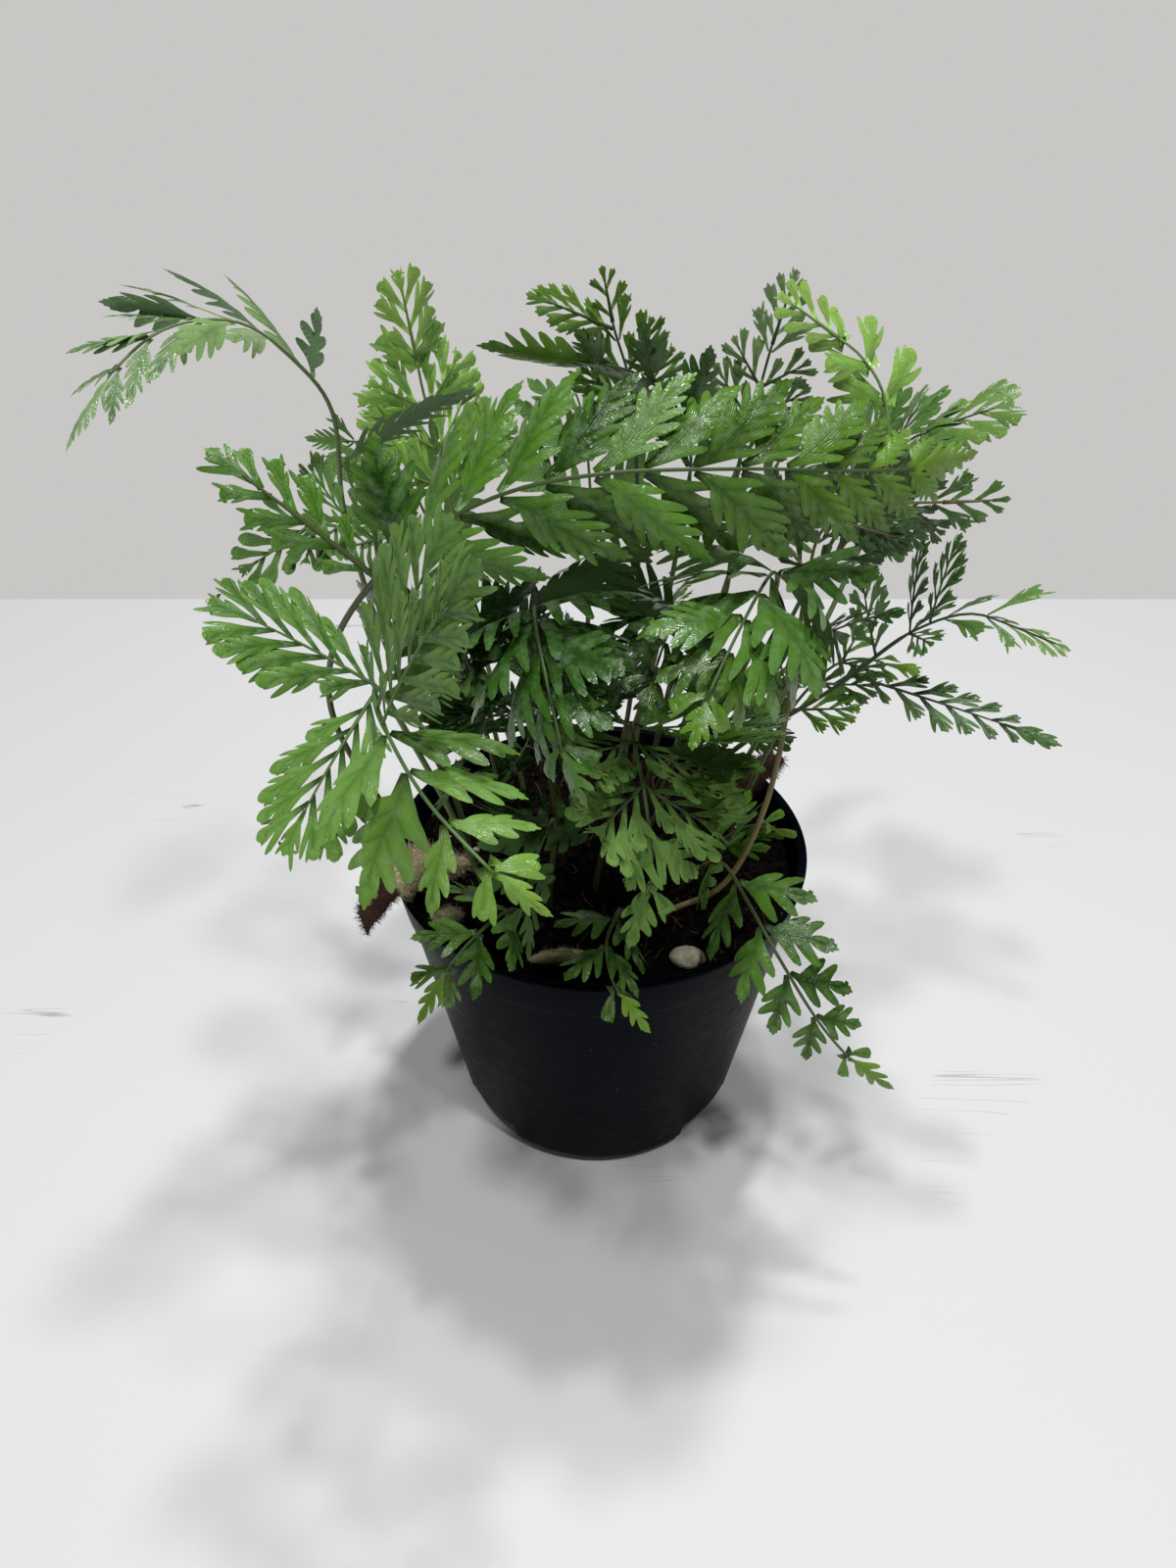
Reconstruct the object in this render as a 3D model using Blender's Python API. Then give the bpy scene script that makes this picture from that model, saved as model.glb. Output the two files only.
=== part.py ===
"""A small fern in a round black nursery pot: pot, soil, furry creeping rhizomes, a pebble and every frond.

Blender units are metres and +Z is up. The origin is the middle of the pot's underside, and -Y is the front.
Sizes are written in millimetres and MM turns them into metres.
"""

import math

import bmesh
import bpy
from mathutils import Matrix, Vector, geometry, noise
from mathutils.bvhtree import BVHTree

MM = 0.001
GAP = 0.3

# The pot
RIM_RADIUS = 51.0
POT_HEIGHT = 80.0
BASE_RADIUS = 37.0
WALL = 1.4
COLLAR_HEIGHT = 11.0
COLLAR_STEP = 0.8
SHOULDER = 3.0
POT_SIDES = 36
NOTCH_COUNT = 4
NOTCH_WIDTH = 15.0
NOTCH_HEIGHT = 5.0
NOTCH_DEPTH = 4.0

# The soil
SOIL_LEVEL = 73.0
SOIL_DOME = 1.5
SOIL_LUMP = 0.5
SOIL_LUMP_WIDTH = 11.0
SOIL_SLACK = 0.1
SOIL_SIDES = 20
SOIL_RINGS = 3
HOLE_BOTTOM = 66.0
HOLE_HALF = 1.9

# Stems and leaf blades
ROOT_LEVEL = HOLE_BOTTOM + GAP
STIPE_RADIUS = 1.0
TIP_RADIUS = 0.45
STIPE_STEP = 24.0
CURVE_STEPS = 10
LEAF_COLOURS = {
    "dark": (0.035, 0.13, 0.03),
    "green": (0.06, 0.2, 0.04),
    "grey": (0.11, 0.24, 0.09),
    "young": (0.15, 0.32, 0.05),
}
LEAF_BASE = 1.5
LEAF_THICKNESS = 0.6
LOBE_LEAN = math.radians(43)
LOBE_LENGTHS = (14.0, 25.0, 34.0, 48.0)
ROUND_LOBE = 8.2
NODE_ROOM = 2.4
SHORTEST_LEAF = 5.5
MOST_TWIST = math.radians(50)
SAME_ANGLE = math.radians(2)
SIDES = {"left": (0, 2), "right": (1, 2), "above": (0, 1)}
FOOT = 0.7
CLEARANCE = 0.45
FOLDS = (0, 9, -9, 18, -18, 28, -28, 40, -40)
SHARES = (1.0, 0.8, 0.6)

# One row for each frond. leaf is its colour and path runs from the stipe's foot in the soil to the tip.
# bare is the share of it without leaves, long the longest ordinary leaflet, wide its width over its length,
# fall how late the leaflets shorten, cut how much of a lobe stays joined to its neighbour, angle the
# leaflets' lean from the stem, droop how far they bend, face where the upper side looks at the first pair.
# side lists longer side branches by their tips and widths.
FRONDS = (
    dict(name="frond_right_sweep", leaf="green", bare=0.54, pairs=13, long=23, wide=0.32,
         fall=3.2, cut=0.36, angle=54, droop=22, face=(0.1, -0.75, 0.66),
         path=((-43, -3), (-52, -8, 100), (-57, -16, 126), (-54, -23, 145), (-46, -30, 161), (-32, -36, 177),
               (-16, -40, 187), (0, -42, 191), (21, -40, 191), (47, -33, 188), (67, -25, 186)),
         side=((-66, -34, 193, 13, 82), (-42, -31, 192, 12, 62))),
    dict(name="frond_left_arch", leaf="grey", bare=0.74, pairs=6, long=20, wide=0.42,
         fall=1.7, cut=0.1, angle=50, droop=8, face=(0.55, 0.1, 0.83),
         path=((-36, 16), (-44, 18, 100), (-52, 18, 130), (-56, 16, 160), (-55, 12, 183), (-59, 6, 194),
               (-67, -2, 204), (-78, -10, 205), (-88, -19, 198), (-95, -25, 190)),
         side=((-29, 20, 190, 13), (-52, 6, 203, 12), (-86, -5, 216, 12), (-90, -14, 205, 9, 24),
               (-66, 16, 206, 9))),
    dict(name="frond_near_left", leaf="young", bare=0.76, pairs=4, long=19, wide=0.52,
         fall=1.6, cut=0.1, angle=64, droop=14, face=(0.0, -0.6, 0.8),
         path=((-27, -17), (-32, -24, 105), (-37, -40, 138), (-38, -58, 160), (-35, -74, 165),
               (-27, -89, 161), (-18, -98, 156), (-9, -104, 150)),
         side=((-59, -64, 181, 18), (-51, -86, 149, 18), (-39, -97, 149, 15), (-24, -84, 200, 18),
               (-11, -90, 196, 15))),
    dict(name="frond_right_low", leaf="grey", bare=0.7, pairs=4, long=13, wide=0.5,
         fall=1.3, cut=0.1, angle=54, droop=8, face=(-0.35, 0.1, 0.93),
         path=((19, 5), (23, 9, 86), (32, 10, 99), (54, 5, 121), (68, -2, 140), (78, -6, 146), (88, -8, 143),
               (98, -10, 137)),
         side=((98, -20, 124, 10), (54, 2, 154, 10), (66, 2, 160, 8), (74, 3, 160, 9), (90, -4, 152, 9))),
    dict(name="frond_right_tall", leaf="dark", bare=0.68, pairs=7, long=17, wide=0.48,
         fall=1.8, cut=0.14, angle=50, droop=16, face=(-0.1, -0.3, 0.95),
         path=((15, -23), (28, -22, 84), (37, -17, 104), (41, -10, 133), (42, -8, 152), (44, -9, 167),
               (53, -13, 173), (64, -16, 175), (76, -18, 176)),
         side=((53, -28, 162, 9),)),
    dict(name="frond_top_right", leaf="young", bare=0.78, pairs=4, long=11, wide=0.52,
         fall=1.3, cut=0.12, angle=50, droop=8, face=(0.2, -0.9, 0.3),
         path=((30, 14), (40, 12, 105), (52, 9, 140), (59, 9, 172), (57, 12, 186), (52, 13, 193),
               (44, 12, 199), (35, 10, 207))),
    dict(name="frond_top_grey", leaf="grey", bare=0.72, pairs=5, long=15, wide=0.54,
         fall=1.5, cut=0.1, angle=52, droop=8, face=(-0.2, -0.8, 0.5),
         path=((16, 22), (24, 27, 105), (30, 25, 136), (30, 22, 166), (33, 20, 185), (36, 18, 199),
               (41, 16, 207))),
    dict(name="frond_right_back", leaf="grey", bare=0.66, pairs=5, long=20, wide=0.5,
         fall=1.4, cut=0.14, angle=48, droop=14, face=(-0.2, -0.2, 0.95),
         path=((28, 25), (40, 26, 110), (53, 24, 148), (60, 19, 168), (68, 14, 178), (84, 9, 181))),
    dict(name="frond_top_centre", leaf="dark", bare=0.78, pairs=4, long=14, wide=0.54,
         fall=1.3, cut=0.14, angle=44, droop=8, face=(0.1, -0.9, 0.4),
         path=((4, 24), (8, 27, 105), (9, 27, 140), (8, 25, 165), (6, 23, 185), (2, 20, 199), (2, 16, 209)),
         side=((-14, 14, 206, 8),)),
    dict(name="frond_top_left", leaf="green", bare=0.64, pairs=5, long=18, wide=0.42,
         fall=1.6, cut=0.24, angle=50, droop=14, face=(-0.1, -0.35, 0.93),
         path=((-1, 12), (10, 14, 110), (17, 16, 150), (18, 13, 178), (9, 9, 190), (-4, 5, 195),
               (-22, 0, 197))),
    dict(name="frond_inner_left", leaf="young", bare=0.66, pairs=5, long=19, wide=0.6,
         fall=1.3, cut=0.14, angle=54, droop=12, face=(0.3, -0.85, 0.4),
         path=((-20, 26), (-28, 27, 115), (-32, 25, 146), (-35, 24, 168), (-38, 23, 186), (-38, 21, 197),
               (-32, 18, 205))),
    dict(name="frond_left_mid", leaf="green", bare=0.66, pairs=5, long=18, wide=0.54,
         fall=1.3, cut=0.12, angle=52, droop=10, face=(-0.2, -0.2, 0.95),
         path=((-33, 4), (-39, 8, 105), (-44, 8, 140), (-47, 5, 156), (-54, 0, 165), (-61, -6, 164),
               (-70, -12, 155))),
    dict(name="frond_centre_right", leaf="green", bare=0.68, pairs=6, long=27, wide=0.5,
         fall=1.5, cut=0.24, angle=60, droop=26, face=(0.1, -0.5, 0.85),
         path=((8, -3), (20, -4, 105), (31, -8, 135), (34, -18, 158), (30, -34, 169), (22, -54, 168),
               (13, -70, 157)),
         side=((47, -34, 174, 14),)),
    dict(name="frond_centre_left", leaf="dark", bare=0.6, pairs=6, long=27, wide=0.5,
         fall=1.5, cut=0.24, angle=60, droop=24, face=(-0.1, -0.5, 0.85),
         path=((-9, -3), (-12, -7, 110), (-13, -14, 140), (-13, -26, 158), (-12, -43, 163), (-9, -58, 157),
               (-5, -70, 144))),
    dict(name="frond_centre", leaf="dark", bare=0.58, pairs=6, long=25, wide=0.5,
         fall=1.5, cut=0.2, angle=60, droop=22, face=(0.1, -0.4, 0.9),
         path=((10, 9), (14, 6, 108), (17, 0, 134), (16, -12, 149), (12, -28, 152), (7, -43, 144))),
    dict(name="frond_centre_low", leaf="dark", bare=0.5, pairs=6, long=27, wide=0.58,
         fall=1.3, cut=0.12, angle=58, droop=20, face=(0.0, -0.75, 0.66),
         path=((-1, -13), (4, -15, 108), (6, -24, 130), (6, -40, 137), (8, -52, 131), (9, -60, 119),
               (5, -65, 108))),
    dict(name="frond_centre_dark", leaf="dark", bare=0.46, pairs=6, long=25, wide=0.5,
         fall=1.4, cut=0.14, angle=60, droop=18, face=(-0.2, -0.5, 0.84),
         path=((-3, 3), (-8, 0, 100), (-14, -8, 124), (-20, -20, 134), (-26, -34, 133), (-31, -46, 123))),
    dict(name="frond_left_inner", leaf="dark", bare=0.56, pairs=6, long=26, wide=0.5,
         fall=1.5, cut=0.18, angle=60, droop=22, face=(-0.1, -0.5, 0.85),
         path=((-21, -5), (-24, -6, 105), (-28, -10, 132), (-29, -20, 149), (-26, -36, 155),
               (-20, -50, 149))),
    dict(name="frond_low_left", leaf="dark", bare=0.4, pairs=5, long=25, wide=0.56,
         fall=1.2, cut=0.08, angle=52, droop=14, face=(0.1, -0.7, 0.7),
         path=((-12, -19), (-10, -28, 108), (-12, -42, 114), (-15, -52, 108), (-12, -57, 97))),
    dict(name="frond_front_right", leaf="young", bare=0.26, pairs=6, long=17, wide=0.6,
         fall=2.2, cut=0.08, angle=58, droop=10, face=(0.3, -0.6, 0.75),
         path=((20, -13), (27, -24, 93), (32, -37, 92), (38, -48, 86), (48, -55, 72), (62, -61, 58))),
    dict(name="frond_front", leaf="young", bare=0.5, pairs=3, long=14, wide=0.58,
         fall=1.6, cut=0.08, angle=52, droop=10, face=(0.0, -0.7, 0.7),
         path=((5, -25), (4, -37, 90), (1, -50, 92), (3, -58, 88), (10, -62, 81))),
    dict(name="frond_front_left", leaf="young", bare=0.46, pairs=3, long=16, wide=0.58,
         fall=1.6, cut=0.08, angle=52, droop=10, face=(-0.2, -0.7, 0.7),
         path=((-16, -27), (-20, -39, 92), (-27, -49, 93), (-33, -56, 89), (-38, -60, 82))),
    dict(name="frond_low_middle", leaf="green", bare=0.5, pairs=4, long=18, wide=0.56,
         fall=1.3, cut=0.1, angle=56, droop=14, face=(0.0, -0.6, 0.8),
         path=((-9, 14), (-12, 10, 92), (-16, 2, 106), (-18, -9, 112), (-20, -21, 108))),
    dict(name="frond_low_right", leaf="dark", bare=0.5, pairs=4, long=18, wide=0.56,
         fall=1.3, cut=0.1, angle=56, droop=14, face=(0.0, -0.6, 0.8),
         path=((13, 16), (17, 13, 92), (25, 5, 107), (27, -8, 112), (27, -20, 107))),
    dict(name="frond_right_small", leaf="young", bare=0.46, pairs=3, long=12, wide=0.56,
         fall=1.6, cut=0.08, angle=52, droop=10, face=(0.1, -0.5, 0.86),
         path=((25, -7), (30, -9, 88), (37, -12, 94), (44, -16, 92))),
    dict(name="frond_right_fan", leaf="young", bare=0.56, pairs=4, long=17, wide=0.54,
         fall=1.4, cut=0.1, angle=52, droop=12, face=(0.0, -0.2, 0.98),
         path=((33, 5), (40, 9, 98), (48, 12, 114), (57, 12, 124), (66, 11, 124), (73, 10, 119))),
    dict(name="frond_right_inner", leaf="young", bare=0.5, pairs=4, long=15, wide=0.54,
         fall=1.4, cut=0.1, angle=52, droop=12, face=(0.0, -0.6, 0.8),
         path=((24, 24), (30, 24, 92), (36, 24, 104), (45, 24, 113), (54, 24, 113))),
    dict(name="frond_back", leaf="green", bare=0.58, pairs=4, long=25, wide=0.46,
         fall=1.4, cut=0.18, angle=58, droop=18, face=(0.0, 0.5, 0.85),
         path=((-4, 33), (-3, 38, 115), (-2, 46, 145), (-4, 58, 165), (-7, 72, 168), (-10, 84, 158))),
    dict(name="frond_back_left", leaf="green", bare=0.58, pairs=4, long=24, wide=0.46,
         fall=1.4, cut=0.18, angle=56, droop=16, face=(-0.3, 0.5, 0.8),
         path=((-26, 35), (-33, 42, 110), (-41, 48, 138), (-50, 55, 154), (-62, 62, 158), (-72, 67, 150))),
    dict(name="frond_back_right", leaf="dark", bare=0.58, pairs=4, long=24, wide=0.46,
         fall=1.4, cut=0.18, angle=56, droop=16, face=(0.3, 0.5, 0.8),
         path=((20, 34), (28, 42, 110), (36, 49, 136), (47, 57, 150), (60, 62, 152), (72, 65, 143))),
    dict(name="frond_back_low", leaf="young", bare=0.5, pairs=4, long=16, wide=0.44,
         fall=1.3, cut=0.12, angle=54, droop=12, face=(0.1, 0.6, 0.8),
         path=((10, 38), (13, 47, 104), (17, 58, 112), (21, 70, 108), (24, 79, 98))),
)


def clear_scene():
    """Removes every object, so that the file can be run again."""
    for thing in list(bpy.data.objects):
        bpy.data.objects.remove(thing)


def material(name, colour, roughness):
    made = bpy.data.materials.get(name) or bpy.data.materials.new(name)
    made.use_nodes = True
    shader = made.node_tree.nodes["Principled BSDF"]
    shader.inputs["Base Color"].default_value = (*colour, 1.0)
    shader.inputs["Roughness"].default_value = roughness
    shader.inputs["Metallic"].default_value = 0.0
    return made


def add_object(name, bm, finish):
    """Turns millimetres into metres, points the faces outwards and links the object."""
    bmesh.ops.scale(bm, vec=(MM, MM, MM), verts=bm.verts)
    bmesh.ops.recalc_face_normals(bm, faces=bm.faces)
    mesh = bpy.data.meshes.new(name)
    bm.to_mesh(mesh)
    bm.free()
    mesh.materials.append(finish)
    made = bpy.data.objects.new(name, mesh)
    bpy.context.collection.objects.link(made)
    return made


def turned(profile, sides):
    """A solid of revolution round Z. The profile starts and ends on the axis, bottom to top outside."""
    bm = bmesh.new()
    line = [bm.verts.new((r, 0.0, z)) for r, z in profile]
    edges = [bm.edges.new(pair) for pair in zip(line, line[1:])]
    bmesh.ops.spin(bm, geom=line + edges, cent=(0, 0, 0), axis=(0, 0, 1), angle=math.tau,
                   steps=sides, use_duplicate=False)
    bmesh.ops.remove_doubles(bm, verts=bm.verts, dist=GAP * 0.1)
    return bm


def cut_away(target, cutters):
    """Cuts the cutter objects out of the target and hides them."""
    for number, cutter in enumerate(cutters):
        cutter.hide_render = True
        cutter.display_type = "WIRE"
        cut = target.modifiers.new(f"cut_{number}", "BOOLEAN")
        cut.operation = "DIFFERENCE"
        cut.solver = "EXACT"
        cut.object = cutter


def block(bm, centre, half):
    """Adds a closed box with those half sizes."""
    made = bmesh.ops.create_cube(bm, size=2.0)["verts"]
    bmesh.ops.scale(bm, vec=half, verts=made)
    bmesh.ops.translate(bm, vec=centre, verts=made)
    return made


def wall_radius(z):
    """The pot's outer radius at height z, below its collar."""
    share = (z - SHOULDER) / (POT_HEIGHT - SHOULDER)
    return BASE_RADIUS + (RIM_RADIUS - COLLAR_STEP - BASE_RADIUS) * share


def make_pot():
    collar = POT_HEIGHT - COLLAR_HEIGHT
    inside = RIM_RADIUS - WALL - COLLAR_STEP
    profile = (
        (0.0, 0.0),
        (BASE_RADIUS - SHOULDER, 0.0),
        (BASE_RADIUS - SHOULDER * 0.3, SHOULDER * 0.3),
        (wall_radius(SHOULDER), SHOULDER),
        (wall_radius(collar), collar),
        (wall_radius(collar) + COLLAR_STEP, collar + COLLAR_STEP),
        (RIM_RADIUS, POT_HEIGHT - 0.6),
        (RIM_RADIUS - 0.5, POT_HEIGHT),
        (inside + 0.4, POT_HEIGHT),
        (inside, POT_HEIGHT - 0.6),
        (wall_radius(SHOULDER) - WALL, SHOULDER + WALL),
        (BASE_RADIUS - SHOULDER, WALL),
        (0.0, WALL),
    )
    plastic = material("black_polypropylene", (0.018, 0.02, 0.024), 0.42)
    pot = add_object("pot", turned(profile, POT_SIDES), plastic)
    bm = bmesh.new()
    for corner in range(NOTCH_COUNT):
        turn = math.tau * (corner + 0.5) / NOTCH_COUNT
        made = block(bm, (BASE_RADIUS - NOTCH_DEPTH + NOTCH_WIDTH / 2, 0, 0),
                     (NOTCH_WIDTH / 2, NOTCH_WIDTH / 2, NOTCH_HEIGHT))
        bmesh.ops.rotate(bm, cent=(0, 0, 0), matrix=Matrix.Rotation(turn, 3, "Z"), verts=made)
    cut_away(pot, [add_object("notch_cutter", bm, plastic)])
    return pot


def soil_height(x, y):
    """The soil's top: a low dome with a few lumps."""
    reach = RIM_RADIUS - WALL
    dome = SOIL_DOME * (1 - (x * x + y * y) / reach**2)
    lump = noise.noise(Vector((x, y, SOIL_LEVEL)) / SOIL_LUMP_WIDTH)
    return SOIL_LEVEL + dome + SOIL_LUMP * lump


def make_soil():
    inset = WALL + 2 * GAP
    top_radius = wall_radius(SOIL_LEVEL) - inset
    profile = [(0.0, WALL + GAP), (BASE_RADIUS - SHOULDER - inset, WALL + GAP),
               (wall_radius(SHOULDER + WALL) - inset, SHOULDER + WALL + GAP)]
    profile += [(top_radius * (SOIL_RINGS - ring) / SOIL_RINGS, SOIL_LEVEL) for ring in range(SOIL_RINGS + 1)]
    bm = turned(profile, SOIL_SIDES)
    for vert in bm.verts:
        if vert.co.z > SOIL_LEVEL - 1.0:
            vert.co.z = soil_height(vert.co.x, vert.co.y)
    soil = add_object("soil", bm, material("peat_soil", (0.02, 0.013, 0.009), 0.95))
    holes = bmesh.new()
    for row in FRONDS:
        x, y = row["path"][0]
        block(holes, (x, y, HOLE_BOTTOM + NOTCH_WIDTH), (HOLE_HALF, HOLE_HALF, NOTCH_WIDTH))
    cut_away(soil, [add_object("hole_cutter", holes, soil.data.materials[0])])
    return soil


def smooth_line(points):
    """A centripetal Catmull-Rom curve through the points."""
    points = [Vector(p) for p in points]
    ends = [points[0] * 2 - points[1], *points, points[-1] * 2 - points[-2]]
    line = []
    for a, b, c, d in zip(ends, ends[1:], ends[2:], ends[3:]):
        t1 = math.sqrt((b - a).length)
        t2 = t1 + math.sqrt((c - b).length)
        t3 = t2 + math.sqrt((d - c).length)
        for step in range(CURVE_STEPS):
            t = t1 + (t2 - t1) * step / CURVE_STEPS
            ab = a.lerp(b, t / t1)
            bc = b.lerp(c, (t - t1) / (t2 - t1))
            cd = c.lerp(d, (t - t2) / (t3 - t2))
            line.append(ab.lerp(bc, t / t2).lerp(bc.lerp(cd, (t - t1) / (t3 - t1)), (t - t1) / (t2 - t1)))
    return [*line, points[-1]]


class Spine:
    """A stem's middle line, with the direction that the frond's upper side faces carried along it."""

    def __init__(self, row):
        x, y = row["path"][0]
        foot = [(x, y, z) for z in (ROOT_LEVEL, SOIL_LEVEL - 2, SOIL_LEVEL + 3)]
        self.line = smooth_line([*foot, *row["path"][1:]])
        self.at_length = [0.0]
        for a, b in zip(self.line, self.line[1:]):
            self.at_length.append(self.at_length[-1] + (b - a).length)
        self.length = self.at_length[-1]
        self.bare = self.length * row["bare"]
        steps = [(b - a).normalized() for a, b in zip(self.line, self.line[1:])]
        self.along = [steps[0], *[(a + b).normalized() for a, b in zip(steps, steps[1:])], steps[-1]]
        first = next(i for i, s in enumerate(self.at_length) if s >= self.bare)
        self.up = [None] * len(self.line)
        self.up[first] = self.square(Vector(row["face"]), first)
        for i in range(first + 1, len(self.line)):
            self.up[i] = self.square(self.up[i - 1], i)
        for i in range(first - 1, -1, -1):
            self.up[i] = self.square(self.up[i + 1], i)

    def square(self, wanted, i):
        return (wanted - self.along[i] * wanted.dot(self.along[i])).normalized()

    def at(self, s):
        """The point, the direction along the stem and the direction of the upper side at length s."""
        s = min(max(s, 0.0), self.length - 1e-6)
        i = next(k for k in range(len(self.line) - 1) if self.at_length[k + 1] > s)
        t = (s - self.at_length[i]) / (self.at_length[i + 1] - self.at_length[i])
        along = self.along[i].lerp(self.along[i + 1], t).normalized()
        up = self.up[i].lerp(self.up[i + 1], t)
        return self.line[i].lerp(self.line[i + 1], t), along, (up - along * up.dot(along)).normalized()

    def radius(self, s):
        return STIPE_RADIUS + (TIP_RADIUS - STIPE_RADIUS) * (s / self.length) ** 1.5

    def ring(self, s):
        """The three corners of the stem at s: left and right above, and the keel below."""
        point, along, up = self.at(s)
        left, radius = up.cross(along), self.radius(s)
        return [point + left * radius + up * radius * 0.4, point - left * radius + up * radius * 0.4,
                point - up * radius * 0.8]


class Leaflet:
    """Where one leaflet sits: its foot, its direction and its upper side, bent in an arc along its length."""

    def __init__(self, foot, direction, up, length, droop):
        self.foot, self.direction, self.up = foot, direction, up
        self.across = up.cross(direction)
        self.length, self.bend = length, max(droop, 1e-3) / length

    def point(self, s, w, lift=0.0):
        turn = self.bend * s
        middle = self.foot + (self.direction * math.sin(turn) - self.up * (1 - math.cos(turn))) / self.bend
        return middle + self.across * w + (self.up * math.cos(turn) + self.direction * math.sin(turn)) * lift


def lobe_count(length):
    return 1 + sum(length > limit for limit in LOBE_LENGTHS)


def blade_shape(share):
    """Half width of a leaflet's outline at a share of its length, as a share of the widest."""
    return min(1.0, (share + 0.15) / 0.42) * (1 - share**2.2) ** 0.8


def leaf_outline(length, width, cut, lean):
    """The leaflet's edge as (along, across) points, from its foot up one side to the tip."""
    lobes = lobe_count(length)
    pitch = length * 0.84 / lobes
    half_lobe = 0.45 * pitch * math.sin(lean)
    stem = LEAF_BASE * 0.3
    out = Vector((math.cos(lean), math.sin(lean)))
    back = Vector((-math.sin(lean), math.cos(lean)))
    edge = []
    for lobe in range(lobes):
        centre = length * 0.06 + pitch * (lobe + 0.6)
        reach = max(0.6, width / 2 * blade_shape(centre / length) / math.sin(lean))
        root = Vector((centre, stem))
        notch = Vector((centre - pitch * 0.5, stem)) + out * reach * (cut if lobe else 0.02)
        edge.append(notch)
        if reach > ROUND_LOBE:
            edge.append(root + out * reach * 0.62 + back * half_lobe)
        edge.append(root + out * reach)
    edge.append(Vector((length * 0.93, stem + LEAF_THICKNESS * 0.5)))
    return [*edge, Vector((length, 0.0)), *[Vector((p.x, -p.y)) for p in reversed(edge)]]


def side_branch(row, spine, x, y, z, width, angle=None):
    """The place on the stem from which a branch with the frond's lean reaches the given tip.

    A branch with a lean of its own leaves from the last such place."""
    tip, lean = Vector((x, y, z)), math.radians(angle or row["angle"])
    found = []
    for step in range(200):
        s = spine.length * (0.25 + 0.7 * step / 200)
        point, along, _ = spine.at(s)
        found.append((abs(along.angle(tip - point) - lean), s))
    s = max(s for miss, s in found if miss < SAME_ANGLE) if angle else min(found)[1]
    way = tip - spine.at(s)[0]
    side = max(SIDES, key=lambda name: outwards(spine, s, name).dot(way))
    return s, side, (way.length, way.normalized(), Vector(row["face"]), width)


def outwards(spine, s, side):
    """The direction in which that side of the stem looks."""
    ring = spine.ring(s)
    return (ring[SIDES[side][0]] + ring[SIDES[side][1]] - 2 * spine.at(s)[0]).normalized()


def ordinary_leaf(spine, s, side, angle, length, width):
    _, along, up = spine.at(s)
    angle, left = math.radians(angle), up.cross(along)
    way = along * math.cos(angle) + (left if side == "left" else -left) * math.sin(angle)
    return length, way, up, width


def leaf_plan(row, spine):
    """Every place on the stem that bears leaves: its length and, for each side, a leaf's size and turn."""
    plan = []
    for branch in row.get("side", ()):
        s, side, leaf = side_branch(row, spine, *branch)
        while any(abs(other[0] - s) < NODE_ROOM for other in plan):
            s += 0.5
        plan.append((s, {side: leaf}))
    span, pairs = spine.length - spine.bare, row["pairs"]
    for k in range(pairs):
        share = k / pairs
        s = spine.bare + span * (1 - (1 - (k + 0.15) / (pairs + 0.6)) ** 1.1)
        length = row["long"] * (1 - share ** row["fall"])
        if length < SHORTEST_LEAF:
            break
        angle, width = row["angle"] - 14 * share, LEAF_BASE + row["wide"] * length
        pair = {side: ordinary_leaf(spine, s, side, angle, length, width) for side in ("left", "right")}
        near = [other for other in plan if abs(other[0] - s) < NODE_ROOM]
        if near:
            near[0][1].update({side: leaf for side, leaf in pair.items() if side not in near[0][1]})
        else:
            plan.append((s, pair))
    return sorted(plan, key=lambda place: place[0])


def place_leaflet(spine, s, side, leaf, fold, share, droop):
    """fold turns the leaf round the stem. Its face stays near enough to the stem's side to join it."""
    length, way, face, _ = leaf
    corners = [spine.ring(at)[i] for at in (s - LEAF_BASE / 2, s + LEAF_BASE / 2) for i in SIDES[side]]
    along = spine.at(s)[1]
    turn = Matrix.Rotation(math.radians(fold), 3, along)
    way, face = turn @ way, turn @ face
    face = (face - way * face.dot(way)).normalized()
    easy = along.cross(way).normalized()
    easy = easy if easy.dot(face) > 0 else -easy
    if face.angle(easy) > MOST_TWIST:
        aside = (face - easy * face.dot(easy)).normalized()
        face = easy * math.cos(MOST_TWIST) + aside * math.sin(MOST_TWIST)
    return Leaflet(sum(corners, Vector()) / 4, way, face, length * share, math.radians(droop))


def plate_tree(leaflet, edge, grow):
    """A search tree of the leaflet's plate, thickened by grow on each side and without its foot."""
    shape = [Vector((max(p.x, FOOT), p.y)) for p in edge]
    shape = [p for p, q in zip(shape, shape[-1:] + shape) if (p - q).length > 0.05]
    tris = geometry.tessellate_polygon([[(p.x, p.y, 0.0) for p in shape]])
    verts = [leaflet.point(p.x, p.y, lift) for lift in (grow, -grow) for p in shape]
    count = len(shape)
    faces = [tuple(t) for t in tris] + [tuple(i + count for i in t) for t in tris]
    for i in range(count):
        j = (i + 1) % count
        faces += [(i, j, j + count), (i, j + count, i + count)]
    return BVHTree.FromPolygons(verts, faces)


def stem_tree(spine, grow, start=0.0, end=None):
    """A search tree of a bare stem between two lengths, grown by grow."""
    end = spine.length if end is None else end
    count = max(2, int((end - start) / (LEAF_BASE * 2)))
    verts, faces = [], []
    for k in range(count + 1):
        s = start + (end - start) * k / count
        point, along, up = spine.at(s)
        left, radius = up.cross(along), spine.radius(s) + grow
        verts += [point + left * radius, point + up * radius, point - left * radius, point - up * radius]
    for k in range(count):
        for i in range(4):
            j = (i + 1) % 4
            faces.append((4 * k + i, 4 * k + j, 4 * k + 4 + j, 4 * k + 4 + i))
    return BVHTree.FromPolygons(verts, faces)


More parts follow.
